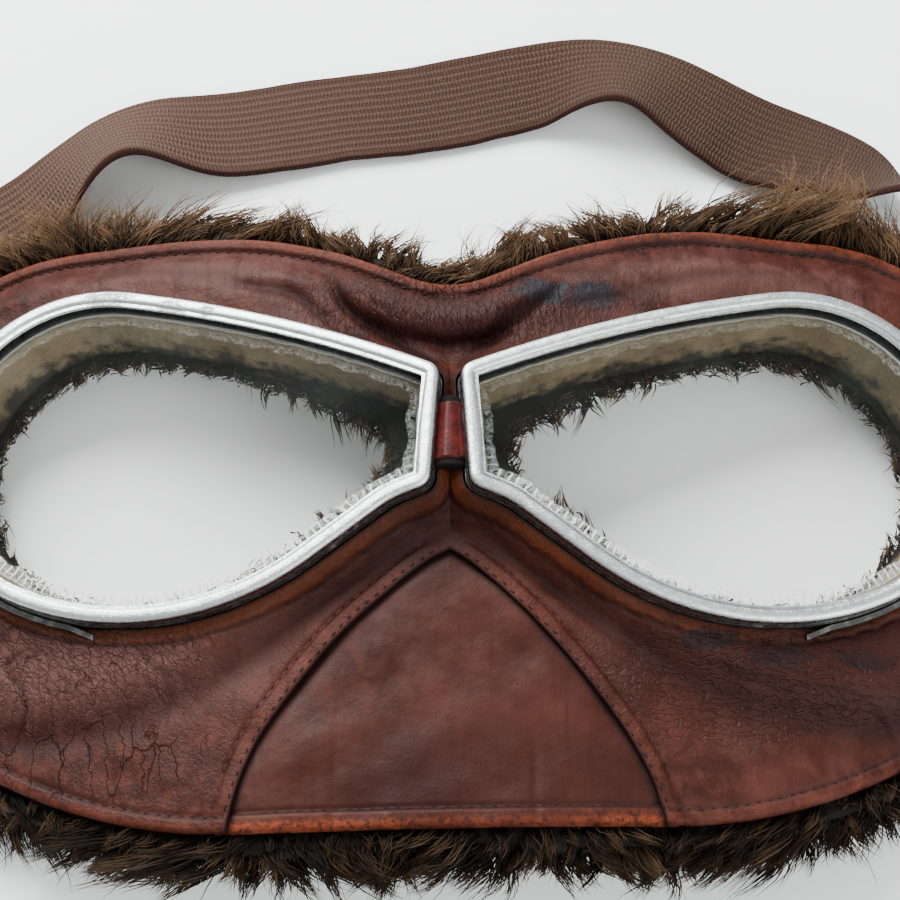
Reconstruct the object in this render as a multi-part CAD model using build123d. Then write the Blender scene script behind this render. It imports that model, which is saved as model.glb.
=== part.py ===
from build123d import *
from math import asin, cos, radians, sin, sqrt
import os

# Fur-lined leather flying goggles with a strap, lying face up.
# x runs across the face, y towards the brow, z out of the lenses. x = 0 is the nose line
# and z = 0 the surface that the fur rests on. The right side is +x and the left is its mirror.

# Rims: two teardrops that tilt outwards from the nose, one above the other. Their arcs and
# straight runs are shares of rim_length, so that each teardrop keeps its shape at any length
rim_length = 90.8
rim_tilt = 9.5
crown_height = 28.0
rim_stand = 11.0
rim_height = crown_height + rim_stand
rim_nose_x = 1.9
rim_nose_y = 0.1597 * rim_length
rim_top_radius = 2.643 * rim_length
rim_end_radius = 0.326 * rim_length
rim_cheek_radius = 0.5727 * rim_length
rim_cheek_run = 0.1707 * rim_length
rim_hook_radius = 0.0991 * rim_length
rim_hook_run = 0.0661 * rim_length
rim_corner_radius = 0.0352 * rim_length
rim_heading = 24.5
rim_sweeps = (14.0, 167.0, 59.0, 16.0)
rim_face = 2.8
rim_depth = 3.4
rim_lip = 0.9
rim_wall = 1.0
rim_edge = 0.5
lens_thickness = 2.0
lens_play = 0.15
gasket_thickness = 0.8
rear_rim_depth = 3.2
rear_flange = 0.8

# Mask: an arched leather sheet over a fur lining, set out round the rims
temple_width = 19.3
brow_margin = 16.4
chin_margin = 32.8
mask_half_width = rim_nose_x + rim_length + temple_width
brow_height = rim_end_radius + brow_margin
chin_drop = rim_end_radius + chin_margin
temple_height = 6.0
arch_drop = crown_height - temple_height
arch_radius = (mask_half_width ** 2 + arch_drop ** 2) / (2 * arch_drop)
leather_thickness = 2.2
fur_depth = 14.0
fur_overhang = 8.0
mask_corner_radius = 0.2321 * mask_half_width
brow_dip_radius = 0.1429 * mask_half_width
layer_gap = 0.3
overrun = 5.0
# Corners of half the outline: across as a share of mask_half_width, up as a share of
# brow_height (above zero) or chin_drop (below), and each corner's radius share
mask_corner_shares = [(0.27, 0.993, 3.2), (0.922, 0.96, 1.57), (1.0, -0.406, 1.7), (0.59, -1.0, 3.4)]
brow_dip_share = 0.716

# The lug pair and screw that close each split rim at the temple
lug_radius = 3.3
lug_reach = 2.2
lug_thickness = 2.4
screw_radius = 1.0
screw_head_radius = 1.9
screw_head_height = 0.9
# The thin wire band round the lower outer quarter, with its bent tail
band_thickness = 0.9
band_height = 1.8
band_drop = 3.9
band_tail = 5.0
band_tail_turn = 24.0
band_start_share = 0.70

# Eyecups and what holds them
eyecup_wall = 1.3
eyecup_depth = 16.0
eyecup_lean = 14.0
eyecup_corner_radius = 0.0881 * rim_length
collar_lean = 34.0
collar_width = 1.8
collar_depth = 0.8 * rim_hook_radius
fur_eye_ledge = 8.0

# The centre, which folds about the bridge
fold_drop = 3.8
fold_height = rim_height - fold_drop
leather_split = 3.3
fur_split = 7.2
centre_gap = 0.3
bridge_roll_radius = 2.0
bridge_low_y = -1.0
bridge_high_y = 8.5
bridge_wing_drop = 2.2
brow_roll_radius = 16.0
brow_roll_rise = 3.4
brow_roll_share = 0.63
# Half the brow piece: across and up as shares of mask_half_width and brow_height
brow_piece_shares = [(0.205, 0.90), (0.168, 0.64), (0.075, 0.475), (0.031, 0.40)]
nose_apex_y = -15.2
# The nose patch's seam: across as a share of nose_foot_half, down from apex to chin
nose_foot_half = 36.4
nose_seam_shares = [(0.33, 0.197), (0.52, 0.341), (0.687, 0.504), (0.84, 0.674), (0.94, 0.835),
                    (1.0, 1.0)]
nose_patch_thickness = 1.6

# Strap fittings at the temples
ring_wire = 2.2
wire_sides = 8
ring_slot = 6.2
ring_inner_width = 22.0
ring_corner_radius = 3.0
ring_reach = 9.0
ring_x = mask_half_width + ring_reach
ring_y = -5.0
ring_rise = 3.06
ring_height = crown_height - arch_radius + sqrt(arch_radius ** 2 - ring_x ** 2) + ring_rise
loop_play = 0.3
tab_thickness = 1.8
tab_width = 17.0
tab_overlap = 13.5
tab_root_x = mask_half_width - tab_overlap
tab_rivet_radius = 2.2
tab_rivet_rise = 0.9
tab_rivet_gap = 8.0

# Strap: flat over the brow, and standing on its edge round the turns
strap_width = 19.0
strap_thickness = 2.2
strap_lift = 0.4
head_gap = 46.0
turn_outset = 23.4
turn_share = 0.77
crest_radius = 50.0
strap_rise = brow_height + head_gap
strap_half_span = ring_x + ring_slot + 2 * ring_wire + turn_outset
turn_radius = turn_share * turn_outset
# Corners of the route from the right ring to the left: across and up as shares of
# strap_half_span and strap_rise
strap_corner_shares = [(1.0, -0.054), (1.0, 0.28), (0.182, 0.974), (-0.39, 0.783),
                       (-1.0, 0.28), (-1.0, -0.054)]
# The strap's lean: shares of the route from the right ring to the left one, each with degrees
strap_lean_shares = [(0.0, 0), (0.02, 0), (0.085, 66), (0.11, 72), (0.28, 72), (0.36, 14),
                     (0.40, 4), (0.58, 6), (0.66, 34), (0.70, 70), (0.74, 72), (0.89, 72),
                     (0.915, 66), (0.98, 0), (1.0, 0)]
# Where the three lengths meet, and the sections in each
strap_split_shares = [(0.0, 0.365), (0.366, 0.624), (0.625, 1.0)]
strap_sections = 18
strap_drop_share = 0.05

# Slider: a bent frame that the strap threads, with two bars in front and one behind
slider_share = 0.215
slider_length = 13.0
slider_bar = 2.6
slider_plate = 1.2
slider_cheek = 1.6
slider_play = 0.35


def rim_plane():
    """Plane of the right rim's face, tilted down towards the temple."""
    turn = radians(rim_tilt)
    return Plane(origin=(0, 0, rim_height), x_dir=(cos(turn), 0, -sin(turn)),
                 z_dir=(sin(turn), 0, cos(turn)))


def rim_outline(inset, corner=rim_corner_radius):
    """Teardrop face in its own plane, drawn in by inset."""
    sweep_top, sweep_end, sweep_cheek, sweep_hook = rim_sweeps
    with BuildSketch() as drop:
        with BuildLine():
            heading = radians(rim_heading)
            top = JernArc((rim_nose_x, rim_nose_y), (cos(heading), sin(heading)),
                          rim_top_radius, -sweep_top)
            end = JernArc(top @ 1, top % 1, rim_end_radius, -sweep_end)
            cheek = JernArc(end @ 1, end % 1, rim_cheek_radius, -sweep_cheek)
            run = Line(cheek @ 1, cheek @ 1 + (cheek % 1) * rim_cheek_run)
            hook = JernArc(run @ 1, run % 1, rim_hook_radius, sweep_hook)
            sill = Line(hook @ 1, hook @ 1 + (hook % 1) * rim_hook_run)
            Line(sill @ 1, top @ 0)
        make_face()
        corners = drop.vertices().sort_by(Axis.X)[:2]
        fillet(corners, corner)
        if inset != 0:
            offset(amount=-inset)
    return drop.sketch


def rim_slab(inset, high, low):
    """Solid teardrop between two depths below the rim's face."""
    face = rim_plane() * Pos(0, 0, -high) * rim_outline(inset)
    return extrude(face, low - high, dir=-rim_plane().z_dir)


def rim_ring(outer, inner, high, low):
    return rim_slab(outer, high, low) - rim_slab(inner, high - overrun, low + overrun)


def mask_outline(spread):
    """The mask's outline, both halves, spread outwards."""
    right = [(mask_half_width * a, (brow_height if b > 0 else chin_drop) * b, r)
             for a, b, r in mask_corner_shares]
    left = [(-a, b, r) for a, b, r in reversed(right)]
    dip = (0, brow_height * brow_dip_share)
    points = [dip] + [(a, b) for a, b, r in right + left]
    radii = [brow_dip_radius] + [mask_corner_radius * r for a, b, r in right + left]
    face = make_face(FilletPolyline(*points, radius=radii, close=True))
    return offset(face, amount=spread) if spread else face


def prism(face, low, high):
    return extrude(Pos(0, 0, low) * face, high - low, dir=(0, 0, 1))


def arch(drop, thickness):
    """Arched slab, from drop below the leather's outer face."""
    length = 2 * (brow_height + chin_drop)
    outer = Cylinder(arch_radius - drop, length)
    inner = Cylinder(arch_radius - drop - thickness, length + overrun)
    return Pos(0, 0, crown_height - arch_radius) * Rot(90, 0, 0) * (outer - inner)


def side_prism(near):
    """Everything to the right of x = near, above the resting surface."""
    reach = 2 * mask_half_width
    return Pos(near, 0, 0) * Box(reach, 2 * reach, reach, align=(Align.MIN, Align.CENTER, Align.MIN))


def centre_prism(half):
    reach = 2 * mask_half_width
    return Box(2 * half, 2 * reach, reach, align=(Align.CENTER, Align.CENTER, Align.MIN))


def lug_place():
    """Centre of the temple lug in the rim's plane, past the middle of the outline's round end."""
    start = radians(rim_heading)
    turned = radians(rim_heading - rim_sweeps[0])
    x = rim_nose_x + rim_top_radius * (sin(start) - sin(turned)) + rim_end_radius * sin(turned)
    y = rim_nose_y + rim_top_radius * (cos(turned) - cos(start)) - rim_end_radius * cos(turned)
    return x + rim_end_radius + lug_reach, y


def lug(high, low, radius):
    x, y = lug_place()
    disc = rim_plane() * Pos(x, y, -high) * Circle(radius)
    return extrude(disc, low - high, dir=-rim_plane().z_dir)


def front_rim():
    body = rim_slab(0, 0, rim_depth)
    top = rim_plane().z_dir
    face = body.faces().sort_by(Axis(origin=(0, 0, 0), direction=top))[-1]
    body = chamfer(face.edges(), rim_edge)
    body = body - rim_slab(rim_face, -overrun, rim_depth + overrun)
    body = body - rim_slab(rim_wall, rim_lip, rim_depth + overrun)
    ear = lug(rim_lip, rim_depth, lug_radius) - rim_slab(rim_wall, 0, rim_depth + overrun)
    return body + ear - lug(-overrun, rim_depth + overrun, screw_radius + lens_play)


def lens():
    return rim_slab(rim_wall + lens_play, rim_lip, rim_lip + lens_thickness)


def gasket_top():
    return rim_lip + lens_thickness


def lens_gasket():
    top = gasket_top()
    return rim_ring(rim_wall + lens_play, rim_face, top, top + gasket_thickness)


def rear_top():
    return gasket_top() + gasket_thickness


def rear_bottom():
    return rear_top() + rear_rim_depth


def rear_rim():
    top = rear_top()
    flange = rim_ring(0, rim_face, top, top + rear_flange)
    wall = rim_ring(0, rim_wall, top + rear_flange, rear_bottom())
    ear = lug(top, top + lug_thickness, lug_radius) - rim_slab(rim_wall, 0, 2 * rear_bottom())
    hole = lug(-overrun, rear_bottom() + overrun, screw_radius + lens_play)
    return flange + wall + ear - hole


def rim_screw():
    shank = lug(rim_lip, rear_top() + lug_thickness, screw_radius)
    head = lug(rim_lip - screw_head_height, rim_lip, screw_head_radius)
    return shank + head


def rim_band():
    """Wire strip beside the rear rim, from under the eye round to the temple lug."""
    clear = layer_gap
    ring = rim_ring(-clear - band_thickness, -clear, band_drop, band_drop + band_height)
    lug_x, lug_y = lug_place()
    start_x = lug_x * band_start_share
    reach = 2 * rim_end_radius
    wedge = rim_plane() * Pos(start_x, 0, -overrun - band_drop - band_height) * Box(
        reach, reach, 2 * overrun + 2 * band_drop + band_height,
        align=(Align.MIN, Align.MAX, Align.MIN))
    strip = (ring & wedge) - lug(0, rear_bottom() + overrun, lug_radius + clear)
    strip = strip.solids().sort_by(SortBy.VOLUME)[-1]
    cut = strip.faces().sort_by(Axis.X)[0]
    turn = radians(band_tail_turn)
    back = -rim_plane().x_dir * cos(turn) - rim_plane().y_dir * sin(turn)
    tail = extrude(cut, band_tail, dir=back)
    return strip + tail


def eyecup_top():
    return rear_top() + rear_flange


def eyecup_cone(inset, low):
    """Solid that narrows from the rear rim towards the face."""
    start = rim_plane() * Pos(0, 0, -eyecup_top()) * rim_outline(inset, eyecup_corner_radius)
    return extrude(start, low - eyecup_top(), dir=-rim_plane().z_dir, taper=eyecup_lean)


def eyecup():
    """Thin cup between the rear rim and the fur."""
    outer = rim_wall + layer_gap
    inner = eyecup_cone(outer + eyecup_wall, eyecup_depth + overrun)
    return eyecup_cone(outer, eyecup_depth) - inner


def eyecup_seat(low):
    """What is cut from the leather and the fur for the cup, from above the rims down."""
    return rim_slab(rim_wall, 0, eyecup_top()) + eyecup_cone(rim_wall, low)


def face_leather():
    """Arched sheet with a padded collar that rises round the rear rim."""
    sheet = arch(0, leather_thickness) & prism(mask_outline(0), 0, rim_height)
    collar_top = band_drop + band_height + layer_gap
    top = rim_plane() * Pos(0, 0, -collar_top) * rim_outline(-collar_width)
    collar = extrude(top, collar_depth, dir=-rim_plane().z_dir, taper=-collar_lean)
    under = arch(leather_thickness, crown_height)
    cushion = (collar & prism(mask_outline(0), 0, rim_height)) - under
    body = (sheet + cushion) & side_prism(leather_split)
    body = body - rim_slab(-layer_gap, 0, rear_bottom() + layer_gap)
    body = body - eyecup_seat(eyecup_depth + overrun)
    body = body - lug(0, rear_bottom() + layer_gap, lug_radius + layer_gap)
    body = body - nose_prism(centre_gap) - brow_prism(centre_gap)
    return body.solids().sort_by(SortBy.VOLUME)[-1]


def brow_prism(spread):
    """Prism over the brow roll and the strip between the eyes."""
    right = [(mask_half_width * a, brow_height * b) for a, b in brow_piece_shares]
    right = [(right[0][0], 2 * brow_height)] + right + [(right[-1][0], nose_apex_y)]
    left = [(-a, b) for a, b in reversed(right)]
    face = make_face(Polyline(*right, *left, close=True))
    face = offset(face, amount=spread, kind=Kind.INTERSECTION) if spread else face
    return prism(face, 0, 2 * rim_height)


def brow_leather():
    sheet = arch(0, leather_thickness)
    roll_z = crown_height + brow_roll_rise - brow_roll_radius
    roll = Pos(0, brow_height * brow_roll_share, roll_z) * Rot(0, 90, 0) * Cylinder(brow_roll_radius, mask_half_width)
    roll = roll - arch(leather_thickness, crown_height)
    roll = roll & prism(mask_outline(0), crown_height - brow_roll_radius, rim_height)
    body = (sheet + roll) & prism(mask_outline(0), 0, rim_height) & brow_prism(0)
    clear = rim_slab(-2 * layer_gap, -overrun, 2 * eyecup_depth)
    body = body - clear - clear.mirror(Plane.YZ)
    return body.solids().sort_by(SortBy.VOLUME)[-1]


def nose_prism(spread):
    """Prism over the nose patch, from its apex down past the chin edge."""
    drop = nose_apex_y + chin_drop
    right = [(nose_foot_half * a, nose_apex_y - drop * b) for a, b in nose_seam_shares]
    right = [(mask_half_width * brow_piece_shares[-1][0], nose_apex_y)] + right
    right = right + [(right[-1][0], -2 * chin_drop)]
    left = [(-a, b) for a, b in reversed(right)]
    face = make_face(Polyline(*right, *left, close=True))
    face = offset(face, amount=spread, kind=Kind.INTERSECTION) if spread else face
    return prism(face, 0, 2 * rim_height)


def nose_patch():
    sheet = arch(leather_thickness - nose_patch_thickness, nose_patch_thickness)
    body = sheet & prism(mask_outline(0), 0, rim_height) & nose_prism(0)
    clear = rim_slab(-2 * layer_gap, -overrun, 2 * eyecup_depth)
    body = body - clear - clear.mirror(Plane.YZ) - brow_prism(centre_gap)
    return body.solids().sort_by(SortBy.VOLUME)[-1]


def fur_shell():
    """Fur lining under the whole mask, cut flat where it rests."""
    shell = arch(leather_thickness + layer_gap, fur_depth)
    return shell & prism(mask_outline(fur_overhang), 0, rim_height)


def fur_lining():
    """Right half of the fur, with the eyecup's seat and the eye hole below it."""
    body = fur_shell() & side_prism(fur_split)
    seat = eyecup_seat(eyecup_depth + layer_gap)
    hole = rim_slab(fur_eye_ledge, 0, 2 * rim_height)
    return body - seat - hole


def fur_lining_centre():
    seat = eyecup_seat(eyecup_depth + layer_gap)
    hole = rim_slab(fur_eye_ledge, 0, 2 * rim_height)
    body = fur_shell() & centre_prism(fur_split - centre_gap)
    for cut in (seat, hole):
        body = body - cut - cut.mirror(Plane.YZ)
    return body.solids().sort_by(SortBy.VOLUME)[-1]


def bridge_strap():
    """Rolled leather between the rims, with wings tucked against their sides."""
    length = bridge_high_y - bridge_low_y
    middle = (bridge_high_y + bridge_low_y) / 2
    roll = Pos(0, middle, fold_height) * Rot(90, 0, 0) * Cylinder(bridge_roll_radius, length)
    wing_z = fold_height - bridge_roll_radius + bridge_wing_drop / 2
    wings = Pos(0, middle, wing_z) * Box(2 * rim_nose_x + 2 * rim_face, length, bridge_wing_drop)
    clear = rim_slab(-layer_gap / 2, -overrun, 2 * eyecup_depth)
    body = (roll + wings) - clear - clear.mirror(Plane.YZ)
    return body.solids().sort_by(SortBy.VOLUME)[-1]


def bar_x(share):
    """The ring's bars: share 0 is the tab's bar and 1 the strap's."""
    return ring_x + share * (ring_slot + ring_wire)


def strap_ring():
    """Eight-sided wire bent to a rectangle."""
    long = ring_inner_width + ring_wire
    short = ring_slot + ring_wire
    centre = Plane((bar_x(0.5), ring_y, ring_height))
    path = centre * RectangleRounded(short, long, ring_corner_radius).wire()
    start = path.position_at(0)
    along = path.tangent_at(0)
    section = Plane(origin=start, z_dir=along) * RegularPolygon(ring_wire / 2, wire_sides, False)
    return sweep(section, path=path)


def bar_loop(x, width, thickness):
    """A tube round one of the ring's bars."""
    inner = ring_wire / 2 + loop_play
    tube = Cylinder(inner + thickness, width) - Cylinder(inner, width + overrun)
    return Pos(x, ring_y, ring_height) * Rot(90, 0, 0) * tube


def temple_tab():
    """Leather tab riveted on the mask and looped round the ring."""
    tongue = arch(-layer_gap - tab_thickness, tab_thickness)
    reach = bar_x(0) - tab_root_x
    strip = Pos(tab_root_x, ring_y, 0) * Box(reach, tab_width, rim_height,
                                             align=(Align.MIN, Align.CENTER, Align.MIN))
    tongue = tongue & strip
    bore = Pos(bar_x(0), ring_y, ring_height) * Rot(90, 0, 0) * Cylinder(
        ring_wire / 2 + loop_play, tab_width + overrun)
    return tongue + bar_loop(bar_x(0), tab_width, tab_thickness) - bore


def tab_rivets():
    """Two domed rivets through the tab into the mask's leather."""
    x = tab_root_x + tab_rivet_gap / 2
    slope = asin(x / arch_radius)
    radius = arch_radius + layer_gap + tab_thickness
    z = crown_height - arch_radius + radius * cos(slope)
    at = Plane(origin=(radius * sin(slope), ring_y, z), z_dir=(sin(slope), 0, cos(slope)))
    dome = Cylinder(tab_rivet_radius, tab_rivet_rise, align=(Align.CENTER, Align.CENTER, Align.MIN))
    dome = chamfer(dome.faces().sort_by(Axis.Z)[-1].edges(), tab_rivet_rise / 2)
    places = (-tab_rivet_gap / 2, tab_rivet_gap / 2)
    return Compound([at * Pos(0, place, 0) * dome for place in places])


def strap_route():
    points = [(strap_half_span * a, strap_rise * b) for a, b in strap_corner_shares]
    first = (bar_x(1) + ring_wire, points[0][1])
    last = (-first[0], points[-1][1])
    radii = [turn_radius, turn_radius, crest_radius, crest_radius, turn_radius, turn_radius]
    return FilletPolyline(first, *points, last, radius=radii)


def strap_lean(share):
    """The lean at a share of the route, in a straight line between the table's entries."""
    for (near, low), (far, high) in zip(strap_lean_shares, strap_lean_shares[1:]):
        if share <= far:
            return low + (high - low) * (share - near) / (far - near)
    return strap_lean_shares[-1][1]


def strap_place(share):
    """Section plane of the strap: its x runs across the strap, y along its face's normal."""
    route = strap_route()
    at = route.position_at(share)
    along = route.tangent_at(share)
    outward = Vector(along.Y, -along.X, 0)
    turn = radians(strap_lean(share))
    across = outward * cos(turn) + Vector(0, 0, -1) * sin(turn)
    under = slider_cheek + slider_play + slider_plate
    settled = (strap_width / 2 + under) * sin(turn) + strap_thickness / 2 * cos(turn) + strap_lift
    blend = min(1, min(share, 1 - share) / strap_drop_share)
    return Plane(origin=(at.X, at.Y, ring_height + (settled - ring_height) * blend),
                 x_dir=across, z_dir=along)


def strap_run(split):
    """Band lofted straight from section to section along one length of the route."""
    start, end = strap_split_shares[split]
    steps = [start + (end - start) * i / strap_sections for i in range(strap_sections + 1)]
    sections = [strap_place(share) * Rectangle(strap_width, strap_thickness) for share in steps]
    return loft(sections, ruled=True)


def strap_right():
    loop = bar_loop(bar_x(1), strap_width, strap_thickness)
    bore = Pos(bar_x(1), ring_y, ring_height) * Rot(90, 0, 0) * Cylinder(
        ring_wire / 2 + loop_play, strap_width + overrun)
    return strap_run(0) + loop - bore


def strap_left():
    loop = bar_loop(-bar_x(1), strap_width, strap_thickness)
    bore = Pos(-bar_x(1), ring_y, ring_height) * Rot(90, 0, 0) * Cylinder(
        ring_wire / 2 + loop_play, strap_width + overrun)
    return strap_run(2) + loop - bore


def strap_middle():
    return strap_run(1)


def strap_slider():
    """Frame round the standing strap: two bars before it, one behind and two cheeks."""
    at = strap_place(slider_share)
    half = strap_width / 2 + slider_play
    deep = strap_thickness / 2 + slider_play
    parts = []
    for end in (-1, 1):
        place = end * (slider_length - slider_bar) / 2
        parts.append(Pos(0, deep + slider_plate / 2, place) * Box(
            2 * (half + slider_cheek), slider_plate, slider_bar))
        parts.append(Pos(end * (half + slider_cheek / 2), 0, 0) * Box(
            slider_cheek, 2 * (deep + slider_plate), slider_length))
    parts.append(Pos(0, -deep - slider_plate / 2, 0) * Box(
        2 * (half + slider_cheek), slider_plate, slider_bar))
    frame = parts[0].fuse(*parts[1:])
    return at * frame


def mirrored(shape):
    return shape.mirror(Plane.YZ)


os.makedirs("parts", exist_ok=True)
paired = {"face_leather": face_leather(), "fur_lining": fur_lining(), "eyecup": eyecup(),
          "front_rim": front_rim(), "rear_rim": rear_rim(), "lens": lens(),
          "lens_gasket": lens_gasket(), "rim_band": rim_band(), "rim_screw": rim_screw(),
          "temple_tab": temple_tab(), "tab_rivets": tab_rivets(), "strap_ring": strap_ring()}
single = {"brow_leather": brow_leather(), "nose_patch": nose_patch(),
          "fur_lining_centre": fur_lining_centre(), "bridge_strap": bridge_strap(),
          "strap_right": strap_right(), "strap_left": strap_left(),
          "strap_middle": strap_middle(), "strap_slider": strap_slider()}

# The origin goes under the middle of the whole object, from the strap's crest to the fur's foot
crest_y = single["strap_middle"].bounding_box().max.Y
centred = Pos(0, -(crest_y - chin_drop - fur_overhang) / 2, 0)
for name, shape in paired.items():
    export_step(centred * shape, f"parts/{name}_right.step")
    export_step(mirrored(centred * shape), f"parts/{name}_left.step")
for name, shape in single.items():
    export_step(centred * shape, f"parts/{name}.step")
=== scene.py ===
# Fur-lined leather flying goggles, lying face up on a pale table
import bpy, math
import numpy as np
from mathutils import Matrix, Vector


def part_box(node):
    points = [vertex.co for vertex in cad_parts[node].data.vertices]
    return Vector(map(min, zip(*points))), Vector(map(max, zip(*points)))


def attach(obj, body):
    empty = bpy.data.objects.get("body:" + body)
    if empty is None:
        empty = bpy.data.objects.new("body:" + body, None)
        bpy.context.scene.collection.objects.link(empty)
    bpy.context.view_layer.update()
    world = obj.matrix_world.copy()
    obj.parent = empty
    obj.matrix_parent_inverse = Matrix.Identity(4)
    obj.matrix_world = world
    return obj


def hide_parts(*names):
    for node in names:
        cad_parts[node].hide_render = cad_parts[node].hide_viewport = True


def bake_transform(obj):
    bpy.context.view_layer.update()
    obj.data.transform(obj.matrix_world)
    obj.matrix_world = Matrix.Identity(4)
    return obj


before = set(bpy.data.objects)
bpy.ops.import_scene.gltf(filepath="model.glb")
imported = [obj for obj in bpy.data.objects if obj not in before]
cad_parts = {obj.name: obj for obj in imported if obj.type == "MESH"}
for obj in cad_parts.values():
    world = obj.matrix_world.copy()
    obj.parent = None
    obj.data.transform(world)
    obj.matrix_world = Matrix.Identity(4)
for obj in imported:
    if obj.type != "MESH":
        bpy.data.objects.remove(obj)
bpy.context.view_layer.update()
mm = 0.001

# The face's own place and shape, in millimetres: x across from the nose line, y up from the
# rims' centre line, z out of the lenses
face = {
    "y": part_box("bridge_strap")[0].y / mm + 1.0,
    "crown": 28.0, "temple": 6.0, "halfWidth": 112.0,
    "rimHeight": 39.0, "rimTilt": 9.5, "leather": 2.2,
    "sideLift": 1.2,      # the right cheek and brow sit a little higher than the left
}
archRise = face["crown"] - face["temple"]
face["arch"] = (face["halfWidth"] ** 2 + archRise ** 2) / (2 * archRise)
rimTurn = math.radians(face["rimTilt"])
eyeMiddle = np.array([45.0, 0.0])
sideWords = {1: "Right", -1: "Left"}
print("frame loaded, the face's line is at y", round(face["y"], 2), "mm")


# Shader maths: a socket wrapped so that plain Python expressions add nodes
class Wire:
    def __init__(self, tree, socket):
        self.tree, self.socket = tree, socket

    def node(self, kind, settings=None, inputs=None, out=0):
        # adds a node: its settings first, then a value or a link in each input; gives one output
        made = self.tree.nodes.new(kind)
        for key, value in (settings or {}).items():
            setattr(made, key, value)
        for key, value in (inputs or {}).items():
            if isinstance(value, Wire):
                self.tree.links.new(value.socket, made.inputs[key])
            else:
                made.inputs[key].default_value = value
        return Wire(self.tree, made.outputs[out])

    def maths(self, operation, a, b=0.0, clamp=False):
        # one Math node on two values, its result held between 0 and 1 where clamp is set
        return self.node("ShaderNodeMath", {"operation": operation, "use_clamp": clamp}, {0: a, 1: b})

    # one Math node for each sign; a reflected form takes the value that stands before this one
    def __add__(self, other): return self.maths("ADD", self, other)
    def __radd__(self, other): return self.maths("ADD", other, self)
    def __sub__(self, other): return self.maths("SUBTRACT", self, other)
    def __rsub__(self, other): return self.maths("SUBTRACT", other, self)
    def __mul__(self, other): return self.maths("MULTIPLY", self, other)
    def __truediv__(self, other): return self.maths("DIVIDE", self, other)
    def __pow__(self, other): return self.maths("POWER", self, other)

    # held between 0 and 1, the sine, the size without its sign, and the larger of two
    def clamped(self): return self.maths("ADD", self, 0.0, True)
    def sine(self): return self.maths("SINE", self)
    def absolute(self): return self.maths("ABSOLUTE", self)
    def most(self, other): return self.maths("MAXIMUM", self, other)

    def step(self, low, high):      # smooth 0 to 1 between low and high
        return self.node("ShaderNodeMapRange", {"interpolation_type": "SMOOTHSTEP"},
                         {0: self, 1: low, 2: high, 3: 0.0, 4: 1.0})

    def mix(self, first, second):   # this number blends two colours
        return self.node("ShaderNodeMix", {"data_type": "RGBA"},
                         {0: self, 6: rgba(first), 7: rgba(second)}, out=2)

    def times(self, scale):         # a vector scaled by three numbers
        return self.node("ShaderNodeVectorMath", {"operation": "MULTIPLY"}, {0: self, 1: scale})

    def plus(self, other):          # the sum of two vectors
        return self.node("ShaderNodeVectorMath", {"operation": "ADD"}, {0: self, 1: other})

    def part(self, axis):           # a vector's x, y or z, as axis 0, 1 or 2
        return self.node("ShaderNodeSeparateXYZ", None, {0: self}, out=axis)

    def noise(self, scale, detail, rough=0.55, warp=0.0):
        # fractal noise from 0 to 1, with so many lumps to a unit of this vector
        return self.node("ShaderNodeTexNoise", None, {"Vector": self, "Scale": scale, "Detail": detail,
                                                      "Roughness": rough, "Distortion": warp})

    def cells(self, scale, feature):
        # what the feature names about scattered points, such as the distance to the nearest
        return self.node("ShaderNodeTexVoronoi", {"feature": feature}, {"Vector": self, "Scale": scale})

    def bump(self, strength, distance):
        # the surface's normal, tilted by the slope of this height
        return self.node("ShaderNodeBump", None, {"Height": self, "Strength": strength, "Distance": distance})


def rgba(colour):       # three numbers get an alpha of 1, and a wire stays as it is
    return colour if isinstance(colour, Wire) or len(colour) == 4 else (*colour, 1.0)


def material(name, *layers, **fixed):
    # a Principled material: the wire of each named mesh layer, where "place" stands for object
    # coordinates in millimetres, and the function that links wires and returns the material
    made = bpy.data.materials.new(name)
    made.use_nodes = True
    shader = made.node_tree.nodes["Principled BSDF"]
    for key, value in fixed.items():
        shader.inputs[key.replace("_", " ")].default_value = value
    start = Wire(made.node_tree, None)
    wires = [start.node("ShaderNodeTexCoord", out=3).times((1 / mm, 1 / mm, 1 / mm)) if layer == "place"
             else start.node("ShaderNodeAttribute", {"attribute_name": layer}, out=2) for layer in layers]

    def finish(**links):    # each named input of the shader takes its wire
        for key, wire in links.items():
            start.tree.links.new(wire.socket, shader.inputs[key.replace("_", " ")])
        return made

    return *wires, finish


# Meshes from whole arrays
def gridFaces(rows, columns, closeRows=False, closeColumns=False):
    # quads of a grid of points numbered row by row
    r = np.arange(rows if closeRows else rows - 1)
    c = np.arange(columns if closeColumns else columns - 1)
    r, c = np.meshgrid(r, c, indexing="ij")
    r2, c2 = (r + 1) % rows, (c + 1) % columns
    quads = np.stack([r * columns + c, r2 * columns + c, r2 * columns + c2, r * columns + c2], -1)
    return quads.reshape(-1, 4)


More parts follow.
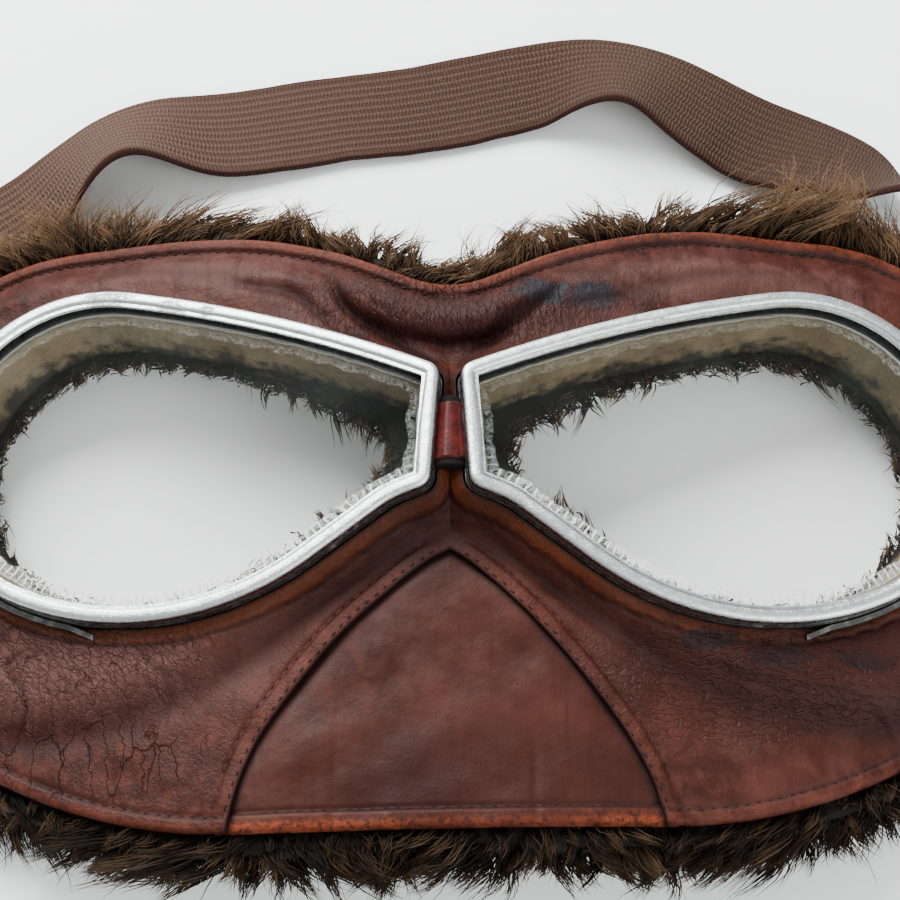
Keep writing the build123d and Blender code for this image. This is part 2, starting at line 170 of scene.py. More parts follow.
def meshFrom(name, points, faces, layers=None, closed=True):
    # a smooth closed mesh whose faces look outwards, or an open flat one
    faces = facingOut(points, faces) if closed else faces
    mesh = bpy.data.meshes.new(name)
    sides = faces.shape[1]
    mesh.vertices.add(len(points))
    placed = (np.asarray(points) + [0, face["y"], 0]) * mm      # face millimetres to the frame's metres
    mesh.vertices.foreach_set("co", placed.astype(np.float32).ravel())
    mesh.loops.add(faces.size)
    mesh.loops.foreach_set("vertex_index", faces.astype(np.int32).ravel())
    mesh.polygons.add(len(faces))
    mesh.polygons.foreach_set("loop_start", np.arange(0, faces.size, sides, dtype=np.int32))
    mesh.polygons.foreach_set("loop_total", np.full(len(faces), sides, np.int32))
    mesh.update(calc_edges=True)
    mesh.polygons.foreach_set("use_smooth", np.full(len(faces), closed))
    for key, values in (layers or {}).items():
        layer = mesh.attributes.new(key, "FLOAT", "POINT")
        layer.data.foreach_set("value", np.asarray(values, np.float32).ravel())
    mesh.validate()
    made = bpy.data.objects.new(name, mesh)
    bpy.context.scene.collection.objects.link(made)
    return made


def paint(piece, finish):     # gives a piece its finish as its one material
    piece.data.materials.clear()
    piece.data.materials.append(finish)


def paintNode(name, finish):            # gives a CAD node its finish
    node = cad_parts[name]
    for slot in node.material_slots:
        slot.material = finish
    if not node.material_slots:
        node.data.materials.append(finish)


def smoothStep(x, low, high):
    # 0 up to low and 1 from high, with three squares less two cubes of the share between
    t = np.clip((x - low) / (high - low), 0, 1)
    return t * t * (3 - 2 * t)


def bell(x, width):     # e to the power of minus the square of x over the width
    return np.exp(-(x / width) ** 2)


def rounded(x, least=0.0):
    # a soft edge as a quarter circle: 0 at the edge, where x is 0, and 1 from x = 1 on
    return np.sqrt(np.clip(1 - (1 - np.clip(x, 0, 1)) ** 2, least, 1))


def averaged(values, reach, mode="edge"):
    # a moving average over so many places to each side
    return np.convolve(np.pad(values, reach, mode), np.full(2 * reach + 1, 1 / (2 * reach + 1)), "valid")


def unit(vectors):      # each vector divided by its length
    return vectors / np.maximum(np.linalg.norm(vectors, axis=-1, keepdims=True), 1e-6)


def leftOf(along):      # each plane vector turned a quarter to its left, (x, y) to (-y, x)
    return np.stack([-along[:, 1], along[:, 0]], 1)


def pointing(angles):   # the cosine and the sine of each angle
    return np.stack([np.cos(angles), np.sin(angles)], 1)


def anglesOf(spots):    # the angle of each spot round the origin
    return np.arctan2(spots[:, 1], spots[:, 0])


def headings(line):     # unit directions along a closed line
    return unit(np.roll(line, -1, 0) - np.roll(line, 1, 0))


def outwardAt(line):    # unit directions away from a closed line that rings the origin
    normal = leftOf(headings(line))
    return normal * np.sign((normal * line).sum(1))[:, None]


def cornerArc(before, here, after, radius, count):
    # the arc that rounds a corner between its neighbours, tangent to both runs
    back, on = unit(before - here), unit(after - here)
    half = math.acos(np.clip(back @ on, -1, 1)) / 2
    centre = here + unit(back + on) * radius / math.sin(half)
    first, last = ((here + run * radius / math.tan(half) - centre)[::-1] for run in (back, on))
    start = math.atan2(*first)
    turn = (math.atan2(*last) - start + math.pi) % (2 * math.pi) - math.pi
    angles = start + turn * np.linspace(0, 1, count)
    return centre + radius * pointing(angles)


def sectionTube(rows, columns):
    # faces of a two-sided section carried along a path, each end closed from side to side
    a = np.arange(columns // 2 - 1)
    b = columns - 1 - a
    cap = np.stack([a, a + 1, b - 1, b], 1)
    return np.vstack([gridFaces(rows, columns, False, True), cap, (cap + (rows - 1) * columns)[:, ::-1]])


def thereAndBack(values, backFactor=1.0):
    # a row of values, then the same row in reverse, times a factor
    return np.concatenate([values, backFactor * values[::-1]])


# Value noise on the plane or in space: sums of turned sine waves, seeded
def wavyNoise(points, scale, seed, octaves):
    rng = np.random.default_rng(seed)
    total, weight = np.zeros(len(points)), 1.0
    for _ in range(octaves):
        for _ in range(5):
            direction = rng.normal(size=points.shape[1])
            direction *= 2 * math.pi * scale / np.linalg.norm(direction)
            total += weight * np.sin(points @ direction + rng.uniform(0, 6.28)) / 3
        scale, weight = scale * 2.1, weight * 0.52
    return total / 1.9


# The rim's teardrop: arcs and runs joined tangent to tangent, in the rim's own plane (millimetres)
rim = {
    "start": (1.9, 14.5), "heading": 24.5, "topRadius": 240.0, "endRadius": 29.6,
    "cheekRadius": 52.0, "cheekRun": 15.5, "hookRadius": 9.0, "hookRun": 6.0,
    "sweeps": (14.0, 167.0, 59.0, 16.0), "corner": 3.2, "samples": 540,
    # spacing of the walk, places before the rounding, and places where a coarse line will do
    "step": 0.15, "fineSamples": 1600, "coarseSamples": 260,
}


def rimLine(corner):
    # a turtle walk along the arcs, its two sharp corners rounded by a short moving average,
    # then spaced evenly by arc length; returns points and outward normals
    x, y, heading = *rim["start"], math.radians(rim["heading"])
    points = []

    def arc(radius, sweep, side):
        # the place moves by the radius times the change in the heading's sine and cosine
        nonlocal x, y, heading
        sweep = math.radians(sweep)
        turned = heading + side * np.linspace(0, sweep, max(4, int(radius * sweep / rim["step"])))
        px = x + side * radius * (np.sin(turned) - math.sin(heading))
        py = y - side * radius * (np.cos(turned) - math.cos(heading))
        points.append(np.stack([px, py], 1)[:-1])
        x, y, heading = px[-1], py[-1], turned[-1]

    def run(length):    # the place moves straight along the heading
        nonlocal x, y
        steps = np.linspace(0, length, max(4, int(length / rim["step"])))[:, None]
        line = np.array([[x, y]]) + steps * [[math.cos(heading), math.sin(heading)]]
        points.append(line[:-1])
        x, y = line[-1]

    top, end, cheek, hook = rim["sweeps"]
    arc(rim["topRadius"], top, -1)
    arc(rim["endRadius"], end, -1)
    arc(rim["cheekRadius"], cheek, -1)
    run(rim["cheekRun"])
    arc(rim["hookRadius"], hook, 1)
    run(rim["hookRun"])
    last, first = np.array([[x, y]]), points[0][:1]
    steps = np.linspace(0, 1, int(np.linalg.norm(last - first) / rim["step"]))[:-1, None]
    points.append(last + (first - last) * steps)
    line = evenly(np.vstack(points), rim["fineSamples"], True)
    reach = int(corner * 0.62 / (ringLength(line) / rim["fineSamples"]))
    line = np.stack([averaged(line[:, axis], reach, "wrap") for axis in (0, 1)], 1)
    line = evenly(line, rim["samples"], True)
    return line, leftOf(headings(line))


def ringLength(line):   # the sum of the steps of a closed line
    return np.linalg.norm(np.roll(line, -1, 0) - line, axis=1).sum()


def evenly(line, count, closed=False):
    # resamples a polyline at equal steps of arc length
    if closed:
        line = np.vstack([line, line[:1]])
    run = np.concatenate([[0], np.cumsum(np.linalg.norm(np.diff(line, axis=0), axis=1))])
    at = np.linspace(0, run[-1], count + 1)[:-1] if closed else np.linspace(0, run[-1], count)
    return np.stack([np.interp(at, run, line[:, k]) for k in range(line.shape[1])], 1)


rimPoints, rimNormals = rimLine(rim["corner"])


def rimPlace(u, v, w, side):
    # from the rim's plane (u across, v up, w out of the lens) to the face
    x = u * math.cos(rimTurn) + w * math.sin(rimTurn)
    z = face["rimHeight"] - u * math.sin(rimTurn) + w * math.cos(rimTurn)
    return np.stack([side * x, v, z], -1)


def rimSweep(line, normals, offsets, depths, side, wobble):
    # a closed profile (offset outwards, depth below the face) carried round the teardrop, with the
    # two wobbles added to its offsets and depths
    o = np.asarray(offsets, float)[None, :] + wobble[0]
    d = np.asarray(depths, float)[None, :] + wobble[1]
    u = line[:, :1] + normals[:, :1] * o
    v = line[:, 1:] + normals[:, 1:] * o
    points = rimPlace(u, v, -d * np.ones_like(u), side).reshape(-1, 3)
    return points, gridFaces(len(line), len(offsets), True, True)


# Lines on the face, in millimetres
mask = {
    "corners": [(0.0, 32.9, 16.0), (30.24, 45.68, 83.2), (103.26, 44.16, 40.8),
                (112.0, -25.33, 44.2), (66.08, -62.4, 88.4)],
    "apex": (0.0, -15.2),
    "seamRight": [(4.6, -18.4), (12.6, -25.6), (19.2, -33.0), (24.2, -39.7), (29.8, -48.0),
                  (33.4, -55.2), (35.6, -62.4)],
    "seamLeft": [(4.4, -17.7), (11.3, -23.2), (18.6, -30.0), (25.9, -38.8), (31.6, -46.8),
                 (35.0, -54.6), (36.8, -62.4)],
    "step": 1.0, "rays": 600, "rows": 58, "under": (1.0, 0.97, 0.85, 0.6, 0.3, 0.0), "thinnest": 0.6,
    "inner": (5.6, 0.15),      # depth and offset of the leather's inner edge
}


def filletLine(corners, step):
    # corner points (x, y, radius) of half an outline, mirrored to a closed one, each corner an arc
    # tangent to its two runs
    every = np.array(corners + [(-x, y, r) for x, y, r in corners[:0:-1]])
    around = zip(np.roll(every, 1, 0), every, np.roll(every, -1, 0))
    line = np.vstack([cornerArc(a[:2], b[:2], c[:2], b[2], 40) for a, b, c in around])
    return evenly(line, int(ringLength(line) / step), True)


def smoothLine(points, count):
    # a Catmull-Rom curve through the points, spaced evenly by arc length
    p = np.array([2 * np.array(points[0]) - points[1], *points, 2 * np.array(points[-1]) - points[-2]])
    t = np.linspace(0, 1, 24, endpoint=False)[:, None]
    runs = []
    for a, b, c, d in zip(p, p[1:], p[2:], p[3:]):
        runs.append(0.5 * (2 * b + (c - a) * t + (2 * a - 5 * b + 4 * c - d) * t ** 2
                           + (3 * b - a - 3 * c + d) * t ** 3))
    return evenly(np.vstack(runs + [p[-2][None]]), count)


def lineGap(points, line, closed=False):
    # the least distance from each point to a polyline, and the place along it from 0 to 1
    ends = np.roll(line, -1, 0) if closed else line[1:]
    starts = line if closed else line[:-1]
    run = ends - starts
    size = (run ** 2).sum(1)
    best = np.full(len(points), 1e9)
    place = np.zeros(len(points))
    for first in range(0, len(points), 8000):
        some = points[first:first + 8000, None, :]
        t = np.clip(((some - starts) * run).sum(2) / size, 0, 1)
        gap = ((starts + t[..., None] * run - some) ** 2).sum(2)
        nearest = gap.argmin(1)
        rows = np.arange(len(nearest))
        best[first:first + 8000] = np.sqrt(gap[rows, nearest])
        place[first:first + 8000] = (nearest + t[rows, nearest]) / len(starts)
    return best, place


maskLine = filletLine(mask["corners"], mask["step"])
seamLines = {side: smoothLine([mask["apex"]] + mask[name], 60) * [side, 1]
             for side, name in ((1, "seamRight"), (-1, "seamLeft"))}


def rimPlan(depth, offset=0.0):
    # the right teardrop seen from straight above, at a depth below the rim's face
    u = rimPoints + rimNormals * offset
    return rimPlace(u[:, 0], u[:, 1], np.full(len(u), -depth), 1)[:, :2]


def archZ(x):       # height of the face's arch, a circle across the face
    return face["crown"] - face["arch"] + np.sqrt(face["arch"] ** 2 - np.minimum(x * x, 150.0 ** 2))


def rimZ(x, depth):
    # height of the plane that lies a depth below the rim's face
    return face["rimHeight"] - np.abs(x) * math.tan(rimTurn) - depth / math.cos(rimTurn)


# Leather of the face: its folds as lines (points, width, depth), left side first
leather = {
    "puff": 2.7, "collarWidth": 2.3, "hemWidth": 2.5, "hemRise": 0.35, "collarEdge": 2.2,
    "collarDepth": (3.9, 5.75, 4.45),     # how far below the rim's face: low inside, low outside, above
    "valley": [(0, -11.5), (4, -13.5), (12, -17.5), (22, -23), (31.5, -31), (41, -37.6), (50, -41.2),
               (60, -43.8), (71, -44.6), (85, -43), (98, -36), (106, -26)],
    "browRoll": 3.3,
    "rollFoot": [(-24, 38.5), (-20.5, 34), (-18.7, 30), (-15, 26.6), (-8.3, 23.6), (-1.1, 21.9),
                 (6.7, 23.2), (12.5, 26.6), (17.1, 31.1), (21, 36)],
    "creases": [
        ([(-22.5, 37.8), (-20.3, 34.0), (-18.7, 29.4), (-14.5, 26.0), (-8.3, 21.9), (-3.6, 18.6),
          (-1.6, 16.0)], 1.0, 0.95),
        ([(20.0, 34.5), (17.1, 31.1), (11.9, 27.6), (6.7, 23.0), (3.1, 19.7), (1.2, 16.5)], 0.9, 0.8),
        ([(-40.3, 35.0), (-30.8, 33.3), (-26.0, 30.8), (-23.3, 27.9), (-19.5, 24.6), (-13, 21.4)], 1.1, 0.75),
        ([(-66, 39.6), (-54, 38.6), (-44, 37.2), (-34, 37.0)], 1.5, 0.35),
        ([(-12.5, 23.4), (-7.5, 20.2), (-3.0, 16.9)], 0.6, 0.5),
        ([(10.5, 24.3), (6.0, 20.6), (2.4, 17.2)], 0.6, 0.5),
        ([(-16, 31.5), (-13.2, 28.6), (-9.5, 26.4)], 0.6, 0.35),
        ([(24.0, 30.5), (34.0, 33.0), (48.0, 36.4), (62.0, 37.6)], 1.3, 0.4),
        ([(20.5, 29.0), (27.0, 30.8), (35.0, 32.0)], 0.8, 0.35),
        ([(-3.6, -9.5), (-9.0, -14.6), (-17.0, -20.4), (-26.0, -27.4)], 0.8, 0.4),
        ([(3.8, -9.8), (10.0, -15.6), (18.0, -22.2), (27.5, -30.2)], 0.9, 0.45),
        ([(36.0, -31.0), (46.0, -35.5), (58.0, -38.5), (70.0, -39.4)], 0.9, 0.3),
        ([(40.0, -34.0), (50.0, -37.8), (62.0, -40.6)], 0.7, 0.25),
        ([(-72.9, -31.0), (-75.7, -33.6), (-72.4, -37.5), (-71.6, -40.6), (-72.4, -44.5)], 0.35, 0.8),
        ([(-52.0, -31.8), (-50.2, -34.6), (-46.5, -36.4)], 0.35, 0.45),
        ([(-58.5, -33.6), (-62.0, -37.5), (-66.0, -38.2), (-70.5, -37.4)], 0.3, 0.35),
        ([(-56.1, -49.5), (-55.8, -57.6)], 0.3, 0.5), ([(-52.2, -52.1), (-51.9, -58.0)], 0.3, 0.45),
        ([(-60.6, -46.3), (-60.2, -50.3)], 0.28, 0.35), ([(-68.3, -45.9), (-69.6, -50.3)], 0.28, 0.35),
        ([(-46.8, -54.2), (-48.0, -58.6)], 0.28, 0.4), ([(-41.8, -50.6), (-43.6, -55.2)], 0.28, 0.3),
        ([(71.0, -41.0), (74.5, -45.0), (76.5, -48.6)], 0.4, 0.4),
    ],
    "seed": 11, "ripples": (0.42, 0.16, 0.16),      # broad, fine, and on the worn left cheek
    "valleyDepth": 0.55, "footDepth": 0.9, "hemGroove": 0.38, "seamFold": (0.55, 0.3), "stripRise": 0.35,
}


def tableAt(x, table):      # the value at x of a table of pairs
    return np.interp(x, *np.transpose(table))


def seamGap(spots):         # how far each spot lies from the nose seam of its own side
    return np.where(spots[:, 0] >= 0, *(lineGap(spots, seamLines[side])[0] for side in (1, -1)))


def leatherZ(x, y, parts=False):
    # the arch, plus a puffed cushion round each rim that ends in a valley below, a collar that
    # climbs to the rim's side, the brow's roll between its foot and the hem, a folded hem and
    # a folded edge along the nose seam, less every crease as a bell across its line
    spots = np.stack([x, y], 1)
    rimLow = evenly(rimPlan(*mask["inner"]), rim["coarseSamples"], True)
    toRim = lineGap(np.stack([np.abs(x), y], 1), rimLow, True)[0]
    toHem = lineGap(spots, maskLine, True)[0]
    toSeam = seamGap(spots)
    above = y - tableAt(np.abs(x), leather["valley"])
    z = archZ(x)
    puff = leather["puff"] * smoothStep(toHem, 2.4, 8.5) * smoothStep(above, -1.0, 6.5)
    z = z + puff - leather["valleyDepth"] * bell(above + 1.2, 2.6) * smoothStep(toSeam, 1, 6)
    foot = tableAt(x, leather["rollFoot"])
    top = foot + np.maximum(toHem + y - foot - 2.6, 0.1)
    t = np.clip((y - foot) / (top - foot), 0, 1)
    height = leather["browRoll"] * smoothStep(24.0 - np.abs(x + 1.5), 0, 15)
    z = z + np.where(y > foot, height * 1.62 * t ** 0.42 * (1 - t) ** 0.75, 0)
    z = z - leather["footDepth"] * bell(y - foot + 0.9, 1.6) * smoothStep(22 - np.abs(x + 1.5), 0, 12)
    depth = np.zeros_like(x)
    for line, width, deep in leather["creases"]:
        line = smoothLine(line, 40)
        near = ((spots > line.min(0) - 3 * width) & (spots < line.max(0) + 3 * width)).all(1)
        gap, place = lineGap(spots[near], line)
        depth[near] += deep * bell(gap, width) * np.sqrt(np.clip(4 * place * (1 - place), 0, 1) + 0.02)
    broad, fine, cheek = leather["ripples"]
    broad = broad * wavyNoise(spots, 1 / 34, leather["seed"], 3)
    fine = fine * wavyNoise(spots * [1.0, 1.5], 1 / 7.5, leather["seed"] + 1, 3)
    z = z + broad + fine * smoothStep(above, -2, 4) * smoothStep(toHem, 2.5, 6)
    cheek = cheek * wavyNoise(np.stack([x - 0.8 * y, y + 0.5 * x], 1), 1 / 3.4, 5, 2)
    worn = smoothStep(-y, 26, 32) * smoothStep(above, -1, 3) * smoothStep(-x, 30, 45)
    z = z - depth + cheek * worn
    hem = leather["hemRise"] * (1 - smoothStep(toHem, leather["hemWidth"] - 0.5, leather["hemWidth"] + 0.3))
    z = z + hem + 0.9 * (rounded(toHem / 0.9) - 1)
    z = z - leather["hemGroove"] * bell(toHem - leather["hemWidth"], 0.42)
    rise, groove = leather["seamFold"]
    fold = rise * (1 - smoothStep(toSeam, 2.3, 3.2)) - groove * bell(toSeam - 3.1, 0.4)
    z = z + (fold + 0.5 * (rounded(toSeam / 0.7) - 1)) * smoothStep(-y, 12, 17)
    lowIn, lowOut, high = leather["collarDepth"]
    outer = smoothStep(np.abs(x), 56, 64)
    rimDepth = lowIn + (lowOut - lowIn) * outer
    rimDepth = rimDepth + (high - rimDepth) * smoothStep(y, 8, 20)
    collar = np.exp(-(toRim / leather["collarWidth"]) ** 1.6)
    z = z + (rimZ(x, rimDepth) - z) * collar
    edgeAt = leather["collarEdge"] + 0.45 * wavyNoise(spots, 1 / 4.5, 17, 3)
    strip = (1 - smoothStep(toRim, edgeAt - 0.2, edgeAt + 0.2)) * smoothStep(-y, -6, 4)
    z = z + leather["stripRise"] * strip - 0.3 * bell(toRim - edgeAt - 0.35, 0.35) * smoothStep(-y, -6, 4)
    if parts:
        return z, {"toRim": toRim, "toHem": toHem, "toSeam": toSeam, "above": above, "depth": depth,
                   "strip": strip}
    return z


def settle(points):
    # the right side's outer edges a little up and the left side's a little down
    out = np.array(points, float)
    x, y = out[:, 0], out[:, 1]
    out[:, 1] += face["sideLift"] * np.tanh(x / 60) * smoothStep(np.abs(y), 24, 46)
    return out


def rayHits(centre, angles, boundary):
    # where each ray from the centre first crosses the closed boundary
    ends = np.roll(boundary, -1, 0)
    direction = pointing(angles)
    run = ends - boundary
    offset = boundary - centre
    cross = direction[:, None, 0] * run[None, :, 1] - direction[:, None, 1] * run[None, :, 0]
    cross = np.where(np.abs(cross) < 1e-12, 1e-12, cross)
    reach = (offset[None, :, 0] * run[None, :, 1] - offset[None, :, 1] * run[None, :, 0]) / cross
    share = (offset[None, :, 0] * direction[:, None, 1] - offset[None, :, 1] * direction[:, None, 0]) / cross
    reach = np.where((share >= 0) & (share <= 1) & (reach > 0), reach, 1e9)
    return centre + direction * reach.min(1)[:, None]


def maskRight(least):
    # the right half of the mask's outline, from the brow down to the least angle
    angle = anglesOf(maskLine)
    kept = (angle < math.radians(89.8)) & (angle > least)
    return maskLine[kept][np.argsort(-angle[kept])]


def sideBoundary(seam):
    # one side's leather edge: round the mask's outline from the brow to the seam's foot, up the
    # seam to its apex, and up the nose line to the brow
    foot = math.atan2(seam[-1, 1], seam[-1, 0])
    top = maskLine[np.abs(anglesOf(maskLine) - math.pi / 2).argmin(), 1]
    return np.vstack([maskRight(foot + 0.004), seam[::-1], [[0, 0], [0, top]]])


def leatherSide(side):
    # a grid of rays from the eye's middle: rows run from the rim's side out to the leather's edge,
    # bunched at both ends, then fold under and come back beneath as a thin second sheet
    seam = seamLines[side] * [side, 1]
    boundary = sideBoundary(seam)
    inner = evenly(rimPlan(*mask["inner"]), mask["rays"], True)
    outer = rayHits(eyeMiddle, anglesOf(inner - eyeMiddle), boundary)
    for corner in ((0, boundary[-1, 1]), tuple(mask["apex"]), tuple(seam[-1])):
        outer[np.linalg.norm(outer - corner, axis=1).argmin()] = corner
    t = np.linspace(0, 1, mask["rows"])
    t = 0.5 * t + 0.5 * (t - np.sin(2 * math.pi * t) / (2 * math.pi))
    plan = inner[None] + (outer - inner)[None] * t[:, None, None]
    upper = plan.reshape(-1, 2) * [side, 1]
    z, parts = leatherZ(*upper.T, True)
    count = mask["rays"]
    under = np.array(mask["under"])
    below = inner[None] + (outer - inner)[None] * under[:, None, None]
    below = below.reshape(-1, 2) * [side, 1]
    thin = mask["thinnest"]
    thick = thin + (face["leather"] - thin) * smoothStep(seamGap(below), 2.5, 5)
    belowZ, lower = leatherZ(*below.T, True)
    points = np.vstack([np.column_stack([upper, z]), np.column_stack([below, belowZ - thick])])
    faces = gridFaces(mask["rows"] + len(under), count, True, True)
    middle = np.abs(outer[:, 0]) < 1e-6
    middle &= np.roll(middle, -1)
    rowOf, columnOf = faces[:, 0] // count, faces[:, 0] % count
    faces = faces[~((rowOf == mask["rows"] - 1) & middle[columnOf])]
    layers = {key: np.concatenate([parts[key], lower[key]]) for key in parts}
    return points, faces if side < 0 else faces[:, ::-1], layers


def makeFaceLeather():
    # the two halves in one mesh, with the points that they share on the nose line made one
    right, left = leatherSide(1), leatherSide(-1)
    points = np.vstack([right[0], left[0]])
    faces = np.vstack([right[1], left[1] + len(right[0])])
    layers = {key: np.concatenate([right[2][key], left[2][key]]) for key in right[2]}
    onLine = np.where(np.abs(points[:, 0]) < 1e-6)[0]
    keys = {}
    remap = np.arange(len(points))
    for k in onLine:        # the two sides share their points on the nose line
        remap[k] = keys.setdefault((round(points[k, 1], 3), round(points[k, 2], 2)), k)
    faces = remap[faces]
    used, faces = np.unique(faces, return_inverse=True)
    faces = faces.reshape(-1, 4)
    points, layers = settle(points[used]), {key: value[used] for key, value in layers.items()}
    toRim, toHem, toSeam = layers["toRim"], layers["toHem"], layers["toSeam"]
    paintLayers = {
        "wear": np.clip((1 - smoothStep(toHem, 0.2, 2.0)) * (0.28 + 0.3 * smoothStep(points[:, 1], 20, 30))
                        + 0.12 * bell(toSeam - 1.2, 0.9), 0, 1),
        # dirt and painted shade: darker in the creases, along the seam, in the hem's groove, in the valley
        # below the cushion and beside the rim
        "dirtAndShade": np.clip(layers["depth"] * 0.9 + 0.95 * bell(toSeam, 0.38)
                        + 0.45 * bell(toHem - leather["hemWidth"], 0.35)
                        + 0.45 * bell(layers["above"] + 1.0, 2.6) + 0.9 * bell(toRim, 0.5)
                        + 0.5 * bell(toRim - 2.6, 0.3) * smoothStep(-points[:, 1], -6, 4), 0, 1),
        "puffed": smoothStep(layers["above"], -1, 4) * smoothStep(toHem, 3, 7),
        "strip": layers["strip"],
    }
    piece = meshFrom("faceLeather", points, faces, paintLayers)
    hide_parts("face_leather_left", "face_leather_right", "brow_leather")
    return piece


# Nose patch: let in behind the folded edges of the two cheeks
nose = {"drop": 0.62, "tuck": 2.0, "rows": 150, "columns": 130, "thickness": 1.1, "hemWidth": 3.4,
        "seed": 21, "waves": (0.5, 0.10), "hemRise": 0.5, "hemGroove": 0.34,
        # upright creases at the chin: place across, width, where they start below
        "creases": [(-19, 0.8, 44), (14, 0.7, 46)], "creaseDepth": 0.22}


def noseZ(x, y):
    # the arch let down behind the cheeks' edges, hollow along the seams, with a rolled chin hem
    spots = np.stack([x, y], 1)
    toHem = lineGap(spots, maskLine, True)[0]
    toSeam = np.minimum(lineGap(spots, seamLines[1])[0], lineGap(spots, seamLines[-1])[0])
    z = archZ(x) - nose["drop"] - 0.25 * bell(toSeam, 2.0)
    broad, fine = nose["waves"]
    z = z + broad * wavyNoise(spots, 1 / 38, nose["seed"], 3)
    z = z + fine * wavyNoise(spots, 1 / 9, nose["seed"] + 1, 3)
    for at, width, low in nose["creases"]:
        z = z - nose["creaseDepth"] * bell(x - at, width) * smoothStep(-y, low, low + 6)
    z = z + nose["hemRise"] * (1 - smoothStep(toHem, nose["hemWidth"] - 0.6, nose["hemWidth"] + 0.3))
    z = z - nose["hemGroove"] * bell(toHem - nose["hemWidth"], 0.45)
    return z + rounded(toHem / 1.1) - 1, toHem, toSeam


def makeNosePatch():
    # rows run from chin to apex and columns from seam to seam, a little past each seam; the same
    # sheet again beneath closes it
    chin = -maskLine[:, 1].min()
    v = np.linspace(0, 1, nose["rows"])
    y = -chin + (chin + mask["apex"][1] + 1.2) * v
    left, right = (np.interp(y, *seamLines[side][::-1, ::-1].T) + side * nose["tuck"] for side in (-1, 1))
    share = np.linspace(0, 1, nose["columns"])
    x = left[:, None] + (right - left)[:, None] * share
    bottom = np.interp(x[0], *maskFoot())
    y = bottom[None] + (y[-1] - bottom)[None] * v[:, None]
    x, y = x.ravel(), np.broadcast_to(y, x.shape).ravel()
    z, toHem, toSeam = noseZ(x, y)
    top = settle(np.stack([x, y, z], 1))
    below = top - [0, 0, nose["thickness"]]
    points = np.vstack([top, below])
    upper = gridFaces(nose["rows"], nose["columns"])
    lower = upper[:, ::-1] + len(top)
    rim = np.arange(len(top)).reshape(nose["rows"], nose["columns"])
    loop = np.concatenate([rim[0, :-1], rim[:-1, -1], rim[-1, :0:-1], rim[:0:-1, 0]])
    after = np.roll(loop, -1)
    wall = np.stack([loop, loop + len(top), after + len(top), after], 1)
    faces = np.vstack([upper, lower, wall[:, ::-1]])
    wear = np.clip(1.3 * (1 - smoothStep(toHem, 0.9, 1.9)) + 0.30 * (1 - smoothStep(toHem, 2.2, 3.4)), 0, 1)
    # dirt and painted shade along the hollow seams and in the hem's groove
    dirtAndShade = np.clip(1.0 * bell(toSeam, 0.8) + 0.5 * bell(toHem - nose["hemWidth"], 0.35), 0, 1)
    layers = {"wear": np.tile(wear, 2), "dirtAndShade": np.tile(dirtAndShade, 2), "puffed": np.zeros(2 * len(top)),
              "strip": np.zeros(2 * len(top))}
    piece = meshFrom("nosePatch", points, faces, layers)
    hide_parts("nose_patch")
    return piece


def maskFoot():
    # the chin side of the outline, from left to right
    low = maskLine[maskLine[:, 1] < -20]
    low = low[np.argsort(low[:, 0])]
    return low[:, 0], low[:, 1]


def facingOut(points, faces):
    # turns every face of a closed shape round if the shape's signed volume is negative
    p = points - points.mean(0)
    volume = np.einsum("ij,ij->i", p[faces[:, 0]], np.cross(p[faces[:, 1]], p[faces[:, 2]])).sum()
    if faces.shape[1] == 4:
        volume += np.einsum("ij,ij->i", p[faces[:, 0]], np.cross(p[faces[:, 2]], p[faces[:, 3]])).sum()
    return faces if volume > 0 else faces[:, ::-1]


# Stitches: short sunk capsules along a line on the leather
stitch = {"pitch": 1.95, "length": 1.35, "radius": 0.19, "fine": 0.135, "finest": 0.108, "sides": 6,
          "sunk": 0.22, "proud": 0.14, "seed": 31,
          # places along half a stitch's length, and the thickness there
          "rings": (-1.0, -0.8, -0.35, 0.35, 0.8, 1.0), "sizes": (0.12, 0.72, 1.0, 1.0, 0.72, 0.12)}


def makeStitches(runs):
    # a capsule of rings along each stitch, laid from hole to hole on the surface
    rings, sides = np.array(stitch["rings"]), stitch["sides"]
    turn = np.arange(sides) * 2 * math.pi / sides
    block = len(rings) * sides
    far = block - sides
    one = np.vstack([gridFaces(len(rings), sides, False, True), [
        [0, 1, 2, 3], [0, 3, 4, 5], [far + 3, far + 2, far + 1, far], [far + 5, far + 4, far + 3, far]]])
    points, faces, base = [], [], 0
    rng = np.random.default_rng(stitch["seed"])
    for line, height, thick in runs:
        count = max(2, int(np.linalg.norm(np.diff(line, axis=0), axis=1).sum() / stitch["pitch"]))
        ends = evenly(line, count + 1)
        middle = (ends[1:] + ends[:-1]) / 2 + rng.normal(0, 0.07, (count, 2))
        along = unit(ends[1:] - ends[:-1])
        reach = along * (stitch["length"] / 2 * rng.uniform(0.85, 1.1, count))[:, None]
        low, high, mid = height(*np.vstack([middle - reach, middle + reach, middle]).T).reshape(3, -1, 1)
        low, high, mid = low - stitch["sunk"], high - stitch["sunk"], mid + stitch["proud"]
        plan = middle[:, None] + reach[:, None] * rings[:, None]
        lift = (low + high) / 2 + (high - low) / 2 * rings + (mid - (low + high) / 2) * (1 - rings ** 2)
        radius = thick * np.array(stitch["sizes"])[:, None]
        plan = plan[:, :, None] + leftOf(along)[:, None, None] * (radius * np.cos(turn))[..., None]
        lift = lift[..., None] + radius * np.sin(turn) * 0.8
        points.append(np.concatenate([plan, lift[..., None]], -1).reshape(-1, 3))
        faces.append((one[None] + (base + np.arange(count) * block)[:, None, None]).reshape(-1, 4))
        base += count * block
    return meshFrom("faceStitches", settle(np.vstack(points)), np.vstack(faces))


def insetLine(distance, low, high):
    # the mask's outline drawn in by a distance, between two angles in degrees
    line = maskLine - outwardAt(maskLine) * distance
    angle = np.degrees(anglesOf(line)) % 360
    kept = (angle >= low) & (angle <= high)
    return line[kept][np.argsort(angle[kept])]


